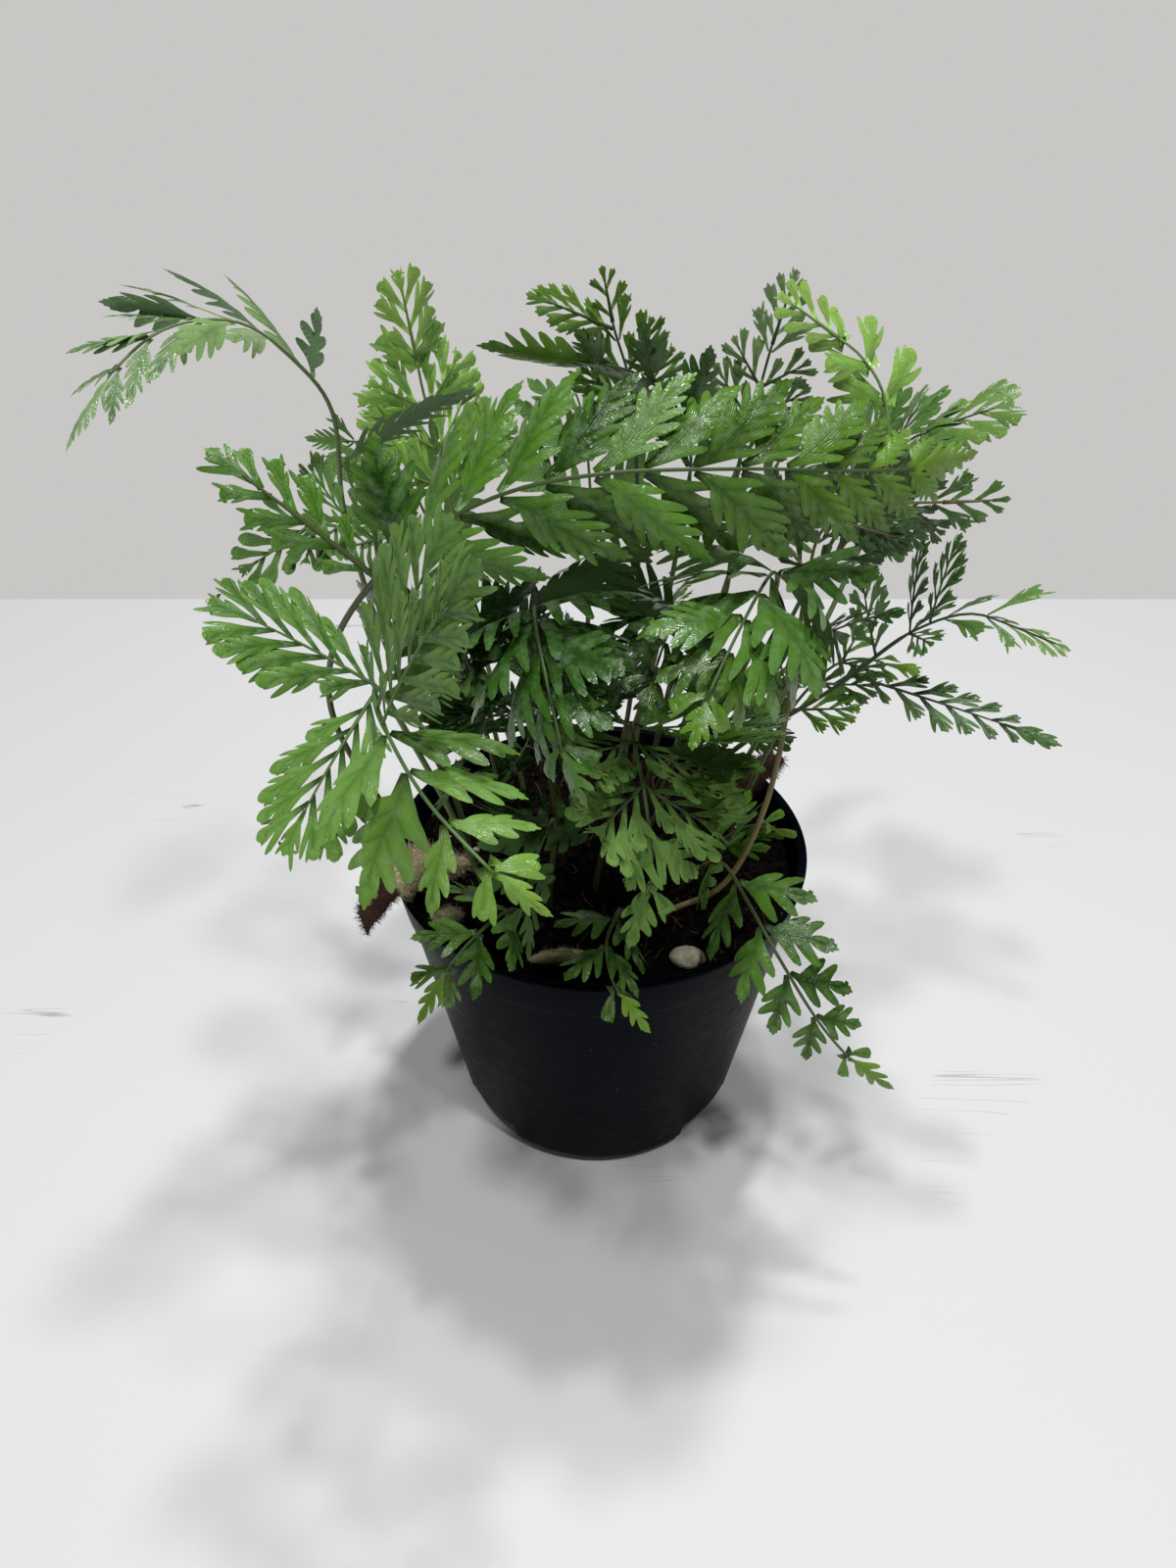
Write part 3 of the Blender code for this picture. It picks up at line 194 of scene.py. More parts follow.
# One row for each frond. leaf is its colour and path runs from the stipe's foot in the soil to the tip.
# bare is the share of it without leaves, long the longest ordinary leaflet, wide its width over its length,
# fall how late the leaflets shorten, cut how much of a lobe stays joined to its neighbour, angle the
# leaflets' lean from the stem, droop how far they bend, face where the upper side looks at the first pair.
# side lists longer side branches by their tips and widths.
FRONDS = (
    dict(name="frond_right_sweep", leaf="green", bare=0.54, pairs=13, long=23, wide=0.32,
         fall=3.2, cut=0.36, angle=54, droop=22, face=(0.1, -0.75, 0.66),
         path=((-43, -3), (-52, -8, 100), (-57, -16, 126), (-54, -23, 145), (-46, -30, 161), (-32, -36, 177),
               (-16, -40, 187), (0, -42, 191), (21, -40, 191), (47, -33, 188), (67, -25, 186)),
         side=((-66, -34, 193, 13, 82), (-42, -31, 192, 12, 62))),
    dict(name="frond_left_arch", leaf="grey", bare=0.74, pairs=6, long=20, wide=0.42,
         fall=1.7, cut=0.1, angle=50, droop=8, face=(0.55, 0.1, 0.83),
         path=((-36, 16), (-44, 18, 100), (-52, 18, 130), (-56, 16, 160), (-55, 12, 183), (-59, 6, 194),
               (-67, -2, 204), (-78, -10, 205), (-88, -19, 198), (-95, -25, 190)),
         side=((-29, 20, 190, 13), (-52, 6, 203, 12), (-86, -5, 216, 12), (-90, -14, 205, 9, 24),
               (-66, 16, 206, 9))),
    dict(name="frond_near_left", leaf="young", bare=0.76, pairs=4, long=19, wide=0.52,
         fall=1.6, cut=0.1, angle=64, droop=14, face=(0.0, -0.6, 0.8),
         path=((-27, -17), (-32, -24, 105), (-37, -40, 138), (-38, -58, 160), (-35, -74, 165),
               (-27, -89, 161), (-18, -98, 156), (-9, -104, 150)),
         side=((-59, -64, 181, 18), (-51, -86, 149, 18), (-39, -97, 149, 15), (-24, -84, 200, 18),
               (-11, -90, 196, 15))),
    dict(name="frond_right_low", leaf="grey", bare=0.7, pairs=4, long=13, wide=0.5,
         fall=1.3, cut=0.1, angle=54, droop=8, face=(-0.35, 0.1, 0.93),
         path=((19, 5), (23, 9, 86), (32, 10, 99), (54, 5, 121), (68, -2, 140), (78, -6, 146), (88, -8, 143),
               (98, -10, 137)),
         side=((98, -20, 124, 10), (54, 2, 154, 10), (66, 2, 160, 8), (74, 3, 160, 9), (90, -4, 152, 9))),
    dict(name="frond_right_tall", leaf="dark", bare=0.68, pairs=7, long=17, wide=0.48,
         fall=1.8, cut=0.14, angle=50, droop=16, face=(-0.1, -0.3, 0.95),
         path=((15, -23), (28, -22, 84), (37, -17, 104), (41, -10, 133), (42, -8, 152), (44, -9, 167),
               (53, -13, 173), (64, -16, 175), (76, -18, 176)),
         side=((53, -28, 162, 9),)),
    dict(name="frond_top_right", leaf="young", bare=0.78, pairs=4, long=11, wide=0.52,
         fall=1.3, cut=0.12, angle=50, droop=8, face=(0.2, -0.9, 0.3),
         path=((30, 14), (40, 12, 105), (52, 9, 140), (59, 9, 172), (57, 12, 186), (52, 13, 193),
               (44, 12, 199), (35, 10, 207))),
    dict(name="frond_top_grey", leaf="grey", bare=0.72, pairs=5, long=15, wide=0.54,
         fall=1.5, cut=0.1, angle=52, droop=8, face=(-0.2, -0.8, 0.5),
         path=((16, 22), (24, 27, 105), (30, 25, 136), (30, 22, 166), (33, 20, 185), (36, 18, 199),
               (41, 16, 207))),
    dict(name="frond_right_back", leaf="grey", bare=0.66, pairs=5, long=20, wide=0.5,
         fall=1.4, cut=0.14, angle=48, droop=14, face=(-0.2, -0.2, 0.95),
         path=((28, 25), (40, 26, 110), (53, 24, 148), (60, 19, 168), (68, 14, 178), (84, 9, 181))),
    dict(name="frond_top_centre", leaf="dark", bare=0.78, pairs=4, long=14, wide=0.54,
         fall=1.3, cut=0.14, angle=44, droop=8, face=(0.1, -0.9, 0.4),
         path=((4, 24), (8, 27, 105), (9, 27, 140), (8, 25, 165), (6, 23, 185), (2, 20, 199), (2, 16, 209)),
         side=((-14, 14, 206, 8),)),
    dict(name="frond_top_left", leaf="green", bare=0.64, pairs=5, long=18, wide=0.42,
         fall=1.6, cut=0.24, angle=50, droop=14, face=(-0.1, -0.35, 0.93),
         path=((-1, 12), (10, 14, 110), (17, 16, 150), (18, 13, 178), (9, 9, 190), (-4, 5, 195),
               (-22, 0, 197))),
    dict(name="frond_inner_left", leaf="young", bare=0.66, pairs=5, long=19, wide=0.6,
         fall=1.3, cut=0.14, angle=54, droop=12, face=(0.3, -0.85, 0.4),
         path=((-20, 26), (-28, 27, 115), (-32, 25, 146), (-35, 24, 168), (-38, 23, 186), (-38, 21, 197),
               (-32, 18, 205))),
    dict(name="frond_left_mid", leaf="green", bare=0.66, pairs=5, long=18, wide=0.54,
         fall=1.3, cut=0.12, angle=52, droop=10, face=(-0.2, -0.2, 0.95),
         path=((-33, 4), (-39, 8, 105), (-44, 8, 140), (-47, 5, 156), (-54, 0, 165), (-61, -6, 164),
               (-70, -12, 155))),
    dict(name="frond_centre_right", leaf="green", bare=0.68, pairs=6, long=27, wide=0.5,
         fall=1.5, cut=0.24, angle=60, droop=26, face=(0.1, -0.5, 0.85),
         path=((8, -3), (20, -4, 105), (31, -8, 135), (34, -18, 158), (30, -34, 169), (22, -54, 168),
               (13, -70, 157)),
         side=((47, -34, 174, 14),)),
    dict(name="frond_centre_left", leaf="dark", bare=0.6, pairs=6, long=27, wide=0.5,
         fall=1.5, cut=0.24, angle=60, droop=24, face=(-0.1, -0.5, 0.85),
         path=((-9, -3), (-12, -7, 110), (-13, -14, 140), (-13, -26, 158), (-12, -43, 163), (-9, -58, 157),
               (-5, -70, 144))),
    dict(name="frond_centre", leaf="dark", bare=0.58, pairs=6, long=25, wide=0.5,
         fall=1.5, cut=0.2, angle=60, droop=22, face=(0.1, -0.4, 0.9),
         path=((10, 9), (14, 6, 108), (17, 0, 134), (16, -12, 149), (12, -28, 152), (7, -43, 144))),
    dict(name="frond_centre_low", leaf="dark", bare=0.5, pairs=6, long=27, wide=0.58,
         fall=1.3, cut=0.12, angle=58, droop=20, face=(0.0, -0.75, 0.66),
         path=((-1, -13), (4, -15, 108), (6, -24, 130), (6, -40, 137), (8, -52, 131), (9, -60, 119),
               (5, -65, 108))),
    dict(name="frond_centre_dark", leaf="dark", bare=0.46, pairs=6, long=25, wide=0.5,
         fall=1.4, cut=0.14, angle=60, droop=18, face=(-0.2, -0.5, 0.84),
         path=((-3, 3), (-8, 0, 100), (-14, -8, 124), (-20, -20, 134), (-26, -34, 133), (-31, -46, 123))),
    dict(name="frond_left_inner", leaf="dark", bare=0.56, pairs=6, long=26, wide=0.5,
         fall=1.5, cut=0.18, angle=60, droop=22, face=(-0.1, -0.5, 0.85),
         path=((-21, -5), (-24, -6, 105), (-28, -10, 132), (-29, -20, 149), (-26, -36, 155),
               (-20, -50, 149))),
    dict(name="frond_low_left", leaf="dark", bare=0.4, pairs=5, long=25, wide=0.56,
         fall=1.2, cut=0.08, angle=52, droop=14, face=(0.1, -0.7, 0.7),
         path=((-12, -19), (-10, -28, 108), (-12, -42, 114), (-15, -52, 108), (-12, -57, 97))),
    dict(name="frond_front_right", leaf="young", bare=0.26, pairs=6, long=17, wide=0.6,
         fall=2.2, cut=0.08, angle=58, droop=10, face=(0.3, -0.6, 0.75),
         path=((20, -13), (27, -24, 93), (32, -37, 92), (38, -48, 86), (48, -55, 72), (62, -61, 58))),
    dict(name="frond_front", leaf="young", bare=0.5, pairs=3, long=14, wide=0.58,
         fall=1.6, cut=0.08, angle=52, droop=10, face=(0.0, -0.7, 0.7),
         path=((5, -25), (4, -37, 90), (1, -50, 92), (3, -58, 88), (10, -62, 81))),
    dict(name="frond_front_left", leaf="young", bare=0.46, pairs=3, long=16, wide=0.58,
         fall=1.6, cut=0.08, angle=52, droop=10, face=(-0.2, -0.7, 0.7),
         path=((-16, -27), (-20, -39, 92), (-27, -49, 93), (-33, -56, 89), (-38, -60, 82))),
    dict(name="frond_low_middle", leaf="green", bare=0.5, pairs=4, long=18, wide=0.56,
         fall=1.3, cut=0.1, angle=56, droop=14, face=(0.0, -0.6, 0.8),
         path=((-9, 14), (-12, 10, 92), (-16, 2, 106), (-18, -9, 112), (-20, -21, 108))),
    dict(name="frond_low_right", leaf="dark", bare=0.5, pairs=4, long=18, wide=0.56,
         fall=1.3, cut=0.1, angle=56, droop=14, face=(0.0, -0.6, 0.8),
         path=((13, 16), (17, 13, 92), (25, 5, 107), (27, -8, 112), (27, -20, 107))),
    dict(name="frond_right_small", leaf="young", bare=0.46, pairs=3, long=12, wide=0.56,
         fall=1.6, cut=0.08, angle=52, droop=10, face=(0.1, -0.5, 0.86),
         path=((25, -7), (30, -9, 88), (37, -12, 94), (44, -16, 92))),
    dict(name="frond_right_fan", leaf="young", bare=0.56, pairs=4, long=17, wide=0.54,
         fall=1.4, cut=0.1, angle=52, droop=12, face=(0.0, -0.2, 0.98),
         path=((33, 5), (40, 9, 98), (48, 12, 114), (57, 12, 124), (66, 11, 124), (73, 10, 119))),
    dict(name="frond_right_inner", leaf="young", bare=0.5, pairs=4, long=15, wide=0.54,
         fall=1.4, cut=0.1, angle=52, droop=12, face=(0.0, -0.6, 0.8),
         path=((24, 24), (30, 24, 92), (36, 24, 104), (45, 24, 113), (54, 24, 113))),
    dict(name="frond_back", leaf="green", bare=0.58, pairs=4, long=25, wide=0.46,
         fall=1.4, cut=0.18, angle=58, droop=18, face=(0.0, 0.5, 0.85),
         path=((-4, 33), (-3, 38, 115), (-2, 46, 145), (-4, 58, 165), (-7, 72, 168), (-10, 84, 158))),
    dict(name="frond_back_left", leaf="green", bare=0.58, pairs=4, long=24, wide=0.46,
         fall=1.4, cut=0.18, angle=56, droop=16, face=(-0.3, 0.5, 0.8),
         path=((-26, 35), (-33, 42, 110), (-41, 48, 138), (-50, 55, 154), (-62, 62, 158), (-72, 67, 150))),
    dict(name="frond_back_right", leaf="dark", bare=0.58, pairs=4, long=24, wide=0.46,
         fall=1.4, cut=0.18, angle=56, droop=16, face=(0.3, 0.5, 0.8),
         path=((20, 34), (28, 42, 110), (36, 49, 136), (47, 57, 150), (60, 62, 152), (72, 65, 143))),
    dict(name="frond_back_low", leaf="young", bare=0.5, pairs=4, long=16, wide=0.44,
         fall=1.3, cut=0.12, angle=54, droop=12, face=(0.1, 0.6, 0.8),
         path=((10, 38), (13, 47, 104), (17, 58, 112), (21, 70, 108), (24, 79, 98))),
)


def linear(code):
    """Turns an sRGB hex colour into Blender's linear one."""
    parts = [int(code[i:i + 2], 16) / 255 for i in (1, 3, 5)]
    return tuple(p / 12.92 if p <= 0.04045 else ((p + 0.055) / 1.055) ** 2.4 for p in parts)


def size(name, about, default, low=0.0, high=1.0):
    """A length in metres that a user may change."""
    return FloatProperty(name=name, description=about, default=default, min=low, max=high, unit="LENGTH")


def share_of(name, about, default, high=1.0):
    """A plain share that a user may change."""
    return FloatProperty(name=name, description=about, default=default, min=0.0, max=high, subtype="FACTOR")


def tint(name, about, code):
    """A colour that a user may change, from its hex code."""
    return FloatVectorProperty(name=name, description=about, default=linear(code), size=3, min=0.0, max=1.0,
                               subtype="COLOR")


class PotSettings(bpy.types.PropertyGroup):
    """The nursery pot."""

    sides: IntProperty(name="Sides", description="Facets round the pot", default=120, min=24, max=240)
    lip: size("Lip", "Radius of the rolled lip of the rim", 0.0006, 0.0001, 0.002)
    plastic: tint("Plastic", "Black polypropylene", "#03060e")
    dust: tint("Dust", "Dry dust and lime on the plastic", "#787d85")


class SoilSettings(bpy.types.PropertyGroup):
    """The peat and what lies on it."""

    crumb_density: FloatProperty(name="Crumbs", description="Crumbs on each square metre", default=420000.0,
                                 min=0.0, max=2000000.0)
    crumb_small: size("Smallest crumb", "Radius of the smallest crumb", 0.00035, 0.0001, 0.005)
    crumb_large: size("Largest crumb", "Radius of the largest crumb", 0.0015, 0.0001, 0.005)
    relief: size("Relief", "How far the peat's surface rises and falls", 0.0009, 0.0, 0.005)
    peat: tint("Peat", "Damp peat", "#060404")
    fibre: tint("Fibre", "Dry fibres in the peat", "#1f160f")
    perlite: tint("Perlite", "White perlite grains", "#e9e7e1")


class FrondSettings(bpy.types.PropertyGroup):
    """The cut of every frond."""

    blade: size("Blade", "Thickness of a blade at its midrib", 0.00032, 0.0001, 0.001)
    cup: share_of("Cup", "How far a segment's edges bend down, over its half width", 0.38)
    louvre: share_of("Louvre", "How far a segment leans over the next, over its half width", 0.2)
    sag: share_of("Sag", "How far a segment's tip bends down, over its length", 0.06)
    tilt: share_of("Tilt", "How far each lobe turns about its own vein", 0.45)
    gloss: share_of("Gloss", "Roughness of the upper side", 0.21)


class RhizomeSettings(bpy.types.PropertyGroup):
    """The furry creeping stems."""

    hair_density: FloatProperty(name="Hairs", description="Hairs on each square metre", default=3600000.0,
                                min=0.0, max=20000000.0)
    hair_length: size("Hair", "Length of the longest hair", 0.0034, 0.0005, 0.01)
    fur: tint("Fur", "Pale young fur", "#e0d8b4")
    scale: tint("Scale", "Old brown scales", "#4b2617")


class StageSettings(bpy.types.PropertyGroup):
    """The table, the light and the camera."""

    table: tint("Table", "White painted table", "#e9e9ea")
    wall: tint("Wall", "Pale grey wall behind", "#c8c7c5")
    overhead: FloatProperty(name="Back lamps", description="Power of each lamp behind", default=6.3, min=0.0,
                            unit="POWER")
    side: FloatProperty(name="Side lamps", description="Power of each lamp at the sides", default=5.4, min=0.0,
                        unit="POWER")
    ceiling: FloatProperty(name="Ceiling", description="Brightness of the dim room above", default=0.03, min=0.0,
                           max=4.0)


def feed(node, feeds):
    """Gives inputs a number, a colour, a node's output, or a node, which stands for its first output in use."""
    for socket, value in feeds.items():
        entry = node.inputs[socket]
        if isinstance(value, bpy.types.Node):
            value = next(out for out in value.outputs if out.enabled)
        if isinstance(value, bpy.types.NodeSocket):
            node.id_data.links.new(value, entry)
        else:
            entry.default_value = (*value[:3], 1.0) if entry.type == "RGBA" else value


def add_node(tree, kind, feeds=None, **settings):
    """Adds a node with its settings, and feeds its inputs."""
    node = tree.nodes.new(kind)
    for name, value in settings.items():
        setattr(node, name, value)
    feed(node, feeds or {})
    return node


def grain_scale(width):
    """The scale of a noise whose blobs are about that many millimetres wide."""
    return 1 / (width * MM)


def new_finish(name, **sockets):
    """A material, what adds nodes to it, its shader with constants on its own sockets, and Object coordinates."""
    made = bpy.data.materials.new(name)
    made.use_nodes = True
    shader = made.node_tree.nodes["Principled BSDF"]
    feed(shader, {socket.replace("_", " "): value for socket, value in sockets.items()})
    add = partial(add_node, made.node_tree)
    return made, add, shader, add("ShaderNodeTexCoord").outputs["Object"]


def blade_marks(add):
    """The blade attribute: share along a segment, share across it, the leaflet's own shade, share of the frond."""
    mark = add("ShaderNodeAttribute", attribute_name="blade")
    parts = add("ShaderNodeSeparateColor", {0: mark.outputs["Color"]})
    return *parts.outputs[:3], mark.outputs["Alpha"]


def forked_veins(add, along, across):
    """Waves that leave the midrib and run forward to the edge, as the veins do."""
    side = add(MATH, {0: across, 1: 9.0}, operation="MULTIPLY")
    fork = add(MATH, {0: along, 1: 34.0}, operation="MULTIPLY")
    return add(MATH, {0: add(MATH, {0: fork, 1: side}, operation="SUBTRACT")}, operation="SINE")


def leaf_finish(name, deep, bright, tip, vein, roughness, shine):
    """Fresh fern blade: a waxy upper skin with pale flecks of painted sheen, forking veins and paler tips."""
    made, add, shader, place = new_finish(name, IOR=1.45, Specular_IOR_Level=shine)
    along, across, own, share = blade_marks(add)
    # Patches of deeper and brighter green, a tint of its own for each leaflet, and painted shade that darkens
    # each lobe towards its edges, where segments part, and in the midrib's groove
    patch = add(NOISE, {"Vector": place, "Scale": grain_scale(7), "Detail": 3.0, "Roughness": 0.55})
    tone = add(MATH, {0: patch, 1: 0.6}, operation="MULTIPLY")
    tone = add(MATH, {0: own, 1: 0.5, 2: tone}, operation="MULTIPLY_ADD")
    tone = add(MATH, {0: along, 1: 0.2, 2: tone}, operation="MULTIPLY_ADD")
    tone = add(RAMP, {"Value": tone, "From Min": 0.22, "From Max": 0.85, "To Max": 1.15})
    # Painted shade: the green turns deeper towards a lobe's edges, at the cuts between lobes and in the midrib's
    # groove
    crack_and_painted_shade = add(MATH, {0: across, 1: 2.5}, operation="POWER")
    tone = add(MATH, {0: crack_and_painted_shade, 1: -0.4, 2: tone}, operation="MULTIPLY_ADD")
    colour = add(MIX, {0: tone, MIX_A: linear(deep), MIX_B: linear(bright)}, data_type="RGBA")
    # Young growth is paler at the frond's end, and each lobe at its edge
    young = add(MATH, {0: share, 1: 7.0}, operation="POWER")
    young = add(MATH, {0: young, 1: 0.6}, operation="MULTIPLY")
    edge = add(MATH, {0: along, 1: across}, operation="MULTIPLY")
    edge = add(RAMP, {"Value": edge, "From Min": 0.55, "From Max": 1.0, "To Max": 0.5})
    pale = add(MATH, {0: young, 1: edge}, operation="MAXIMUM")
    colour = add(MIX, {0: pale, MIX_A: colour, MIX_B: linear(tip)}, data_type="RGBA")
    rib = add(RAMP, {"Value": across, "From Min": 0.0, "From Max": 0.16, "To Min": 0.42, "To Max": 0.0})
    colour = add(MIX, {0: rib, MIX_A: colour, MIX_B: linear(vein)}, data_type="RGBA")
    # Pale grey-green flecks are painted sheen: a reflection of light drawn into the upper skin's colour
    painted_sheen = add(NOISE, {"Vector": place, "Scale": grain_scale(2.6), "Detail": 4.0, "Roughness": 0.65})
    painted_sheen = add(RAMP, {"Value": painted_sheen, "From Min": 0.48, "From Max": 0.7, "To Max": 0.24})
    colour = add(MIX, {0: painted_sheen, MIX_A: colour, MIX_B: linear(PAINTED_SHEEN)}, data_type="RGBA")
    # The skin's cells are finer than this, and are drawn as coarse as they need to show
    skin = add(NOISE, {"Vector": place, "Scale": grain_scale(1.6), "Detail": 3.0, "Roughness": 0.55})
    rough = add(RAMP, {"Value": skin, "From Min": 0.32, "From Max": 0.68, "To Min": roughness - 0.06,
                       "To Max": roughness + 0.2})
    height = add(MATH, {0: skin, 1: 1.2}, operation="MULTIPLY")
    height = add(MATH, {0: forked_veins(add, along, across), 1: 0.1, 2: height}, operation="MULTIPLY_ADD")
    bump = add(BUMP, {"Height": height, "Distance": 0.16 * MM, "Strength": 0.9})
    feed(shader, {"Base Color": colour, "Roughness": rough, "Normal": bump})
    return made


def underside_finish(name, deep, bright, vein):
    """The matt, paler underside of a blade, with its veins raised."""
    made, add, shader, place = new_finish(name, Roughness=0.62, IOR=1.4, Specular_IOR_Level=0.2)
    along, across, own, _ = blade_marks(add)
    patch = add(NOISE, {"Vector": place, "Scale": grain_scale(6), "Detail": 3.0, "Roughness": 0.55})
    tone = add(MATH, {0: patch, 1: 0.6}, operation="MULTIPLY")
    tone = add(MATH, {0: own, 1: 0.4, 2: tone}, operation="MULTIPLY_ADD")
    colour = add(MIX, {0: tone, MIX_A: linear(deep), MIX_B: linear(bright)}, data_type="RGBA")
    rib = add(RAMP, {"Value": across, "From Min": 0.0, "From Max": 0.14, "To Min": 0.6, "To Max": 0.0})
    colour = add(MIX, {0: rib, MIX_A: colour, MIX_B: linear(vein)}, data_type="RGBA")
    bump = add(BUMP, {"Height": forked_veins(add, along, across), "Distance": 0.08 * MM, "Strength": 0.7})
    feed(shader, {"Base Color": colour, "Normal": bump})
    return made


def stem_finish(name, foot, top):
    """A living stipe: brown and wiry at its foot, green and grooved near the blades."""
    made, add, shader, place = new_finish(name, Roughness=0.46, IOR=1.45)
    along = blade_marks(add)[0]
    drawn = add("ShaderNodeMapping", {"Vector": place, "Scale": (1, 1, 0.25)})
    streak = add(NOISE, {"Vector": drawn, "Scale": grain_scale(2.2), "Detail": 3.0, "Roughness": 0.55})
    turn = add(MATH, {0: streak, 1: 0.5}, operation="SUBTRACT")
    turn = add(MATH, {0: turn, 1: 0.5, 2: along}, operation="MULTIPLY_ADD")
    turn = add(RAMP, {"Value": turn, "From Min": 0.1, "From Max": 0.72})
    colour = add(MIX, {0: turn, MIX_A: linear(foot), MIX_B: linear(top)}, data_type="RGBA")
    dark = add(RAMP, {"Value": streak, "From Min": 0.5, "From Max": 0.8, "To Max": 0.35})
    colour = add(MIX, {0: dark, MIX_A: colour, MIX_B: linear(STREAK)}, data_type="RGBA")
    bump = add(BUMP, {"Height": streak, "Distance": 0.12 * MM, "Strength": 0.8})
    feed(shader, {"Base Color": colour, "Normal": bump})
    return made


def pot_finish(settings):
    """Injection-moulded black polypropylene: a soft satin skin, faint flow lines, dust and splashes of peat."""
    made, add, shader, place = new_finish("moulded_black_polypropylene", IOR=1.49, Specular_IOR_Level=0.03)
    cloud = add(NOISE, {"Vector": place, "Scale": grain_scale(22), "Detail": 5.0, "Roughness": 0.6})
    speck = add(NOISE, {"Vector": place, "Scale": grain_scale(1.5), "Detail": 2.0, "Roughness": 0.7})
    film = add(RAMP, {"Value": cloud, "From Min": 0.45, "From Max": 0.85, "To Max": 0.008})
    splash = add(RAMP, {"Value": speck, "From Min": 0.74, "From Max": 0.79, "To Max": 0.8})
    dusty = add(MATH, {0: film, 1: splash}, operation="MAXIMUM")
    colour = add(MIX, {0: dusty, MIX_A: settings.plastic, MIX_B: settings.dust}, data_type="RGBA")
    level = add("ShaderNodeMapping", {"Vector": place, "Scale": (1, 1, 3)})
    scuff = add(NOISE, {"Vector": level, "Scale": grain_scale(5), "Detail": 6.0, "Roughness": 0.7})
    rough = add(RAMP, {"Value": scuff, "From Min": 0.3, "From Max": 0.75, "To Min": 0.3, "To Max": 0.52})
    round_pot = add("ShaderNodeMapping", {"Vector": place, "Scale": (0.35, 0.35, 2.4)})
    flow = add(NOISE, {"Vector": round_pot, "Scale": grain_scale(9), "Detail": 3.0, "Roughness": 0.5})
    skin = add(MATH, {0: flow, 1: 0.3}, operation="MULTIPLY")
    skin = add(MATH, {0: speck, 1: 0.3, 2: skin}, operation="MULTIPLY_ADD")
    bump = add(BUMP, {"Height": skin, "Distance": 0.12 * MM, "Strength": 0.6})
    feed(shader, {"Base Color": colour, "Roughness": rough, "Normal": bump})
    return made


def peat_finish(settings):
    """Damp peat: almost black crumbs with brown fibres and pale grit, quite matt."""
    made, add, shader, place = new_finish("damp_peat", Roughness=0.93, Specular_IOR_Level=0.1)
    lump = add(NOISE, {"Vector": place, "Scale": grain_scale(3), "Detail": 6.0, "Roughness": 0.7})
    speck = add(NOISE, {"Vector": place, "Scale": grain_scale(0.8), "Detail": 2.0, "Roughness": 0.6})
    brown = add(RAMP, {"Value": lump, "From Min": 0.48, "From Max": 0.78})
    colour = add(MIX, {0: brown, MIX_A: settings.peat, MIX_B: settings.fibre}, data_type="RGBA")
    grit = add(RAMP, {"Value": speck, "From Min": 0.68, "From Max": 0.78, "To Max": 0.5})
    colour = add(MIX, {0: grit, MIX_A: colour, MIX_B: linear(GRIT)}, data_type="RGBA")
    bump = add(BUMP, {"Height": lump, "Distance": 0.7 * MM, "Strength": 1.0})
    feed(shader, {"Base Color": colour, "Normal": bump})
    return made


def fur_finish(name, deep, bright):
    """Dry hairs, scales and fibres: matt, streaked deep and bright about a millimetre apart."""
    made, add, shader, place = new_finish(name, Roughness=0.85)
    streak = add(NOISE, {"Vector": place, "Scale": grain_scale(1.2), "Detail": 3.0, "Roughness": 0.55})
    light = add(RAMP, {"Value": streak, "From Min": 0.3, "From Max": 0.7})
    colour = add(MIX, {0: light, MIX_A: deep, MIX_B: bright}, data_type="RGBA")
    nap = add(NOISE, {"Vector": place, "Scale": grain_scale(0.6), "Detail": 2.0, "Roughness": 0.55})
    bump = add(BUMP, {"Height": nap, "Distance": 0.1 * MM, "Strength": 1.0})
    feed(shader, {"Base Color": colour, "Normal": bump})
    return made


def stone_finish(name, deep, bright, speck, width):
    """Gravel or perlite: pale, pitted and matt, with clouds about width millimetres wide."""
    made, add, shader, place = new_finish(name, Roughness=0.75)
    cloud, fleck, pit = [
        add(NOISE, {"Vector": place, "Scale": grain_scale(wide), "Detail": detail, "Roughness": 0.55})
        for wide, detail in ((width, 5.0), (width / 5, 2.0), (width / 3, 4.0))]
    light = add(RAMP, {"Value": cloud, "From Min": 0.35, "From Max": 0.7})
    colour = add(MIX, {0: light, MIX_A: deep, MIX_B: bright}, data_type="RGBA")
    marked = add(RAMP, {"Value": fleck, "From Min": 0.62, "From Max": 0.7, "To Max": 0.5})
    colour = add(MIX, {0: marked, MIX_A: colour, MIX_B: speck}, data_type="RGBA")
    bump = add(BUMP, {"Height": pit, "Distance": 0.25 * MM, "Strength": 1.0})
    feed(shader, {"Base Color": colour, "Normal": bump})
    return made


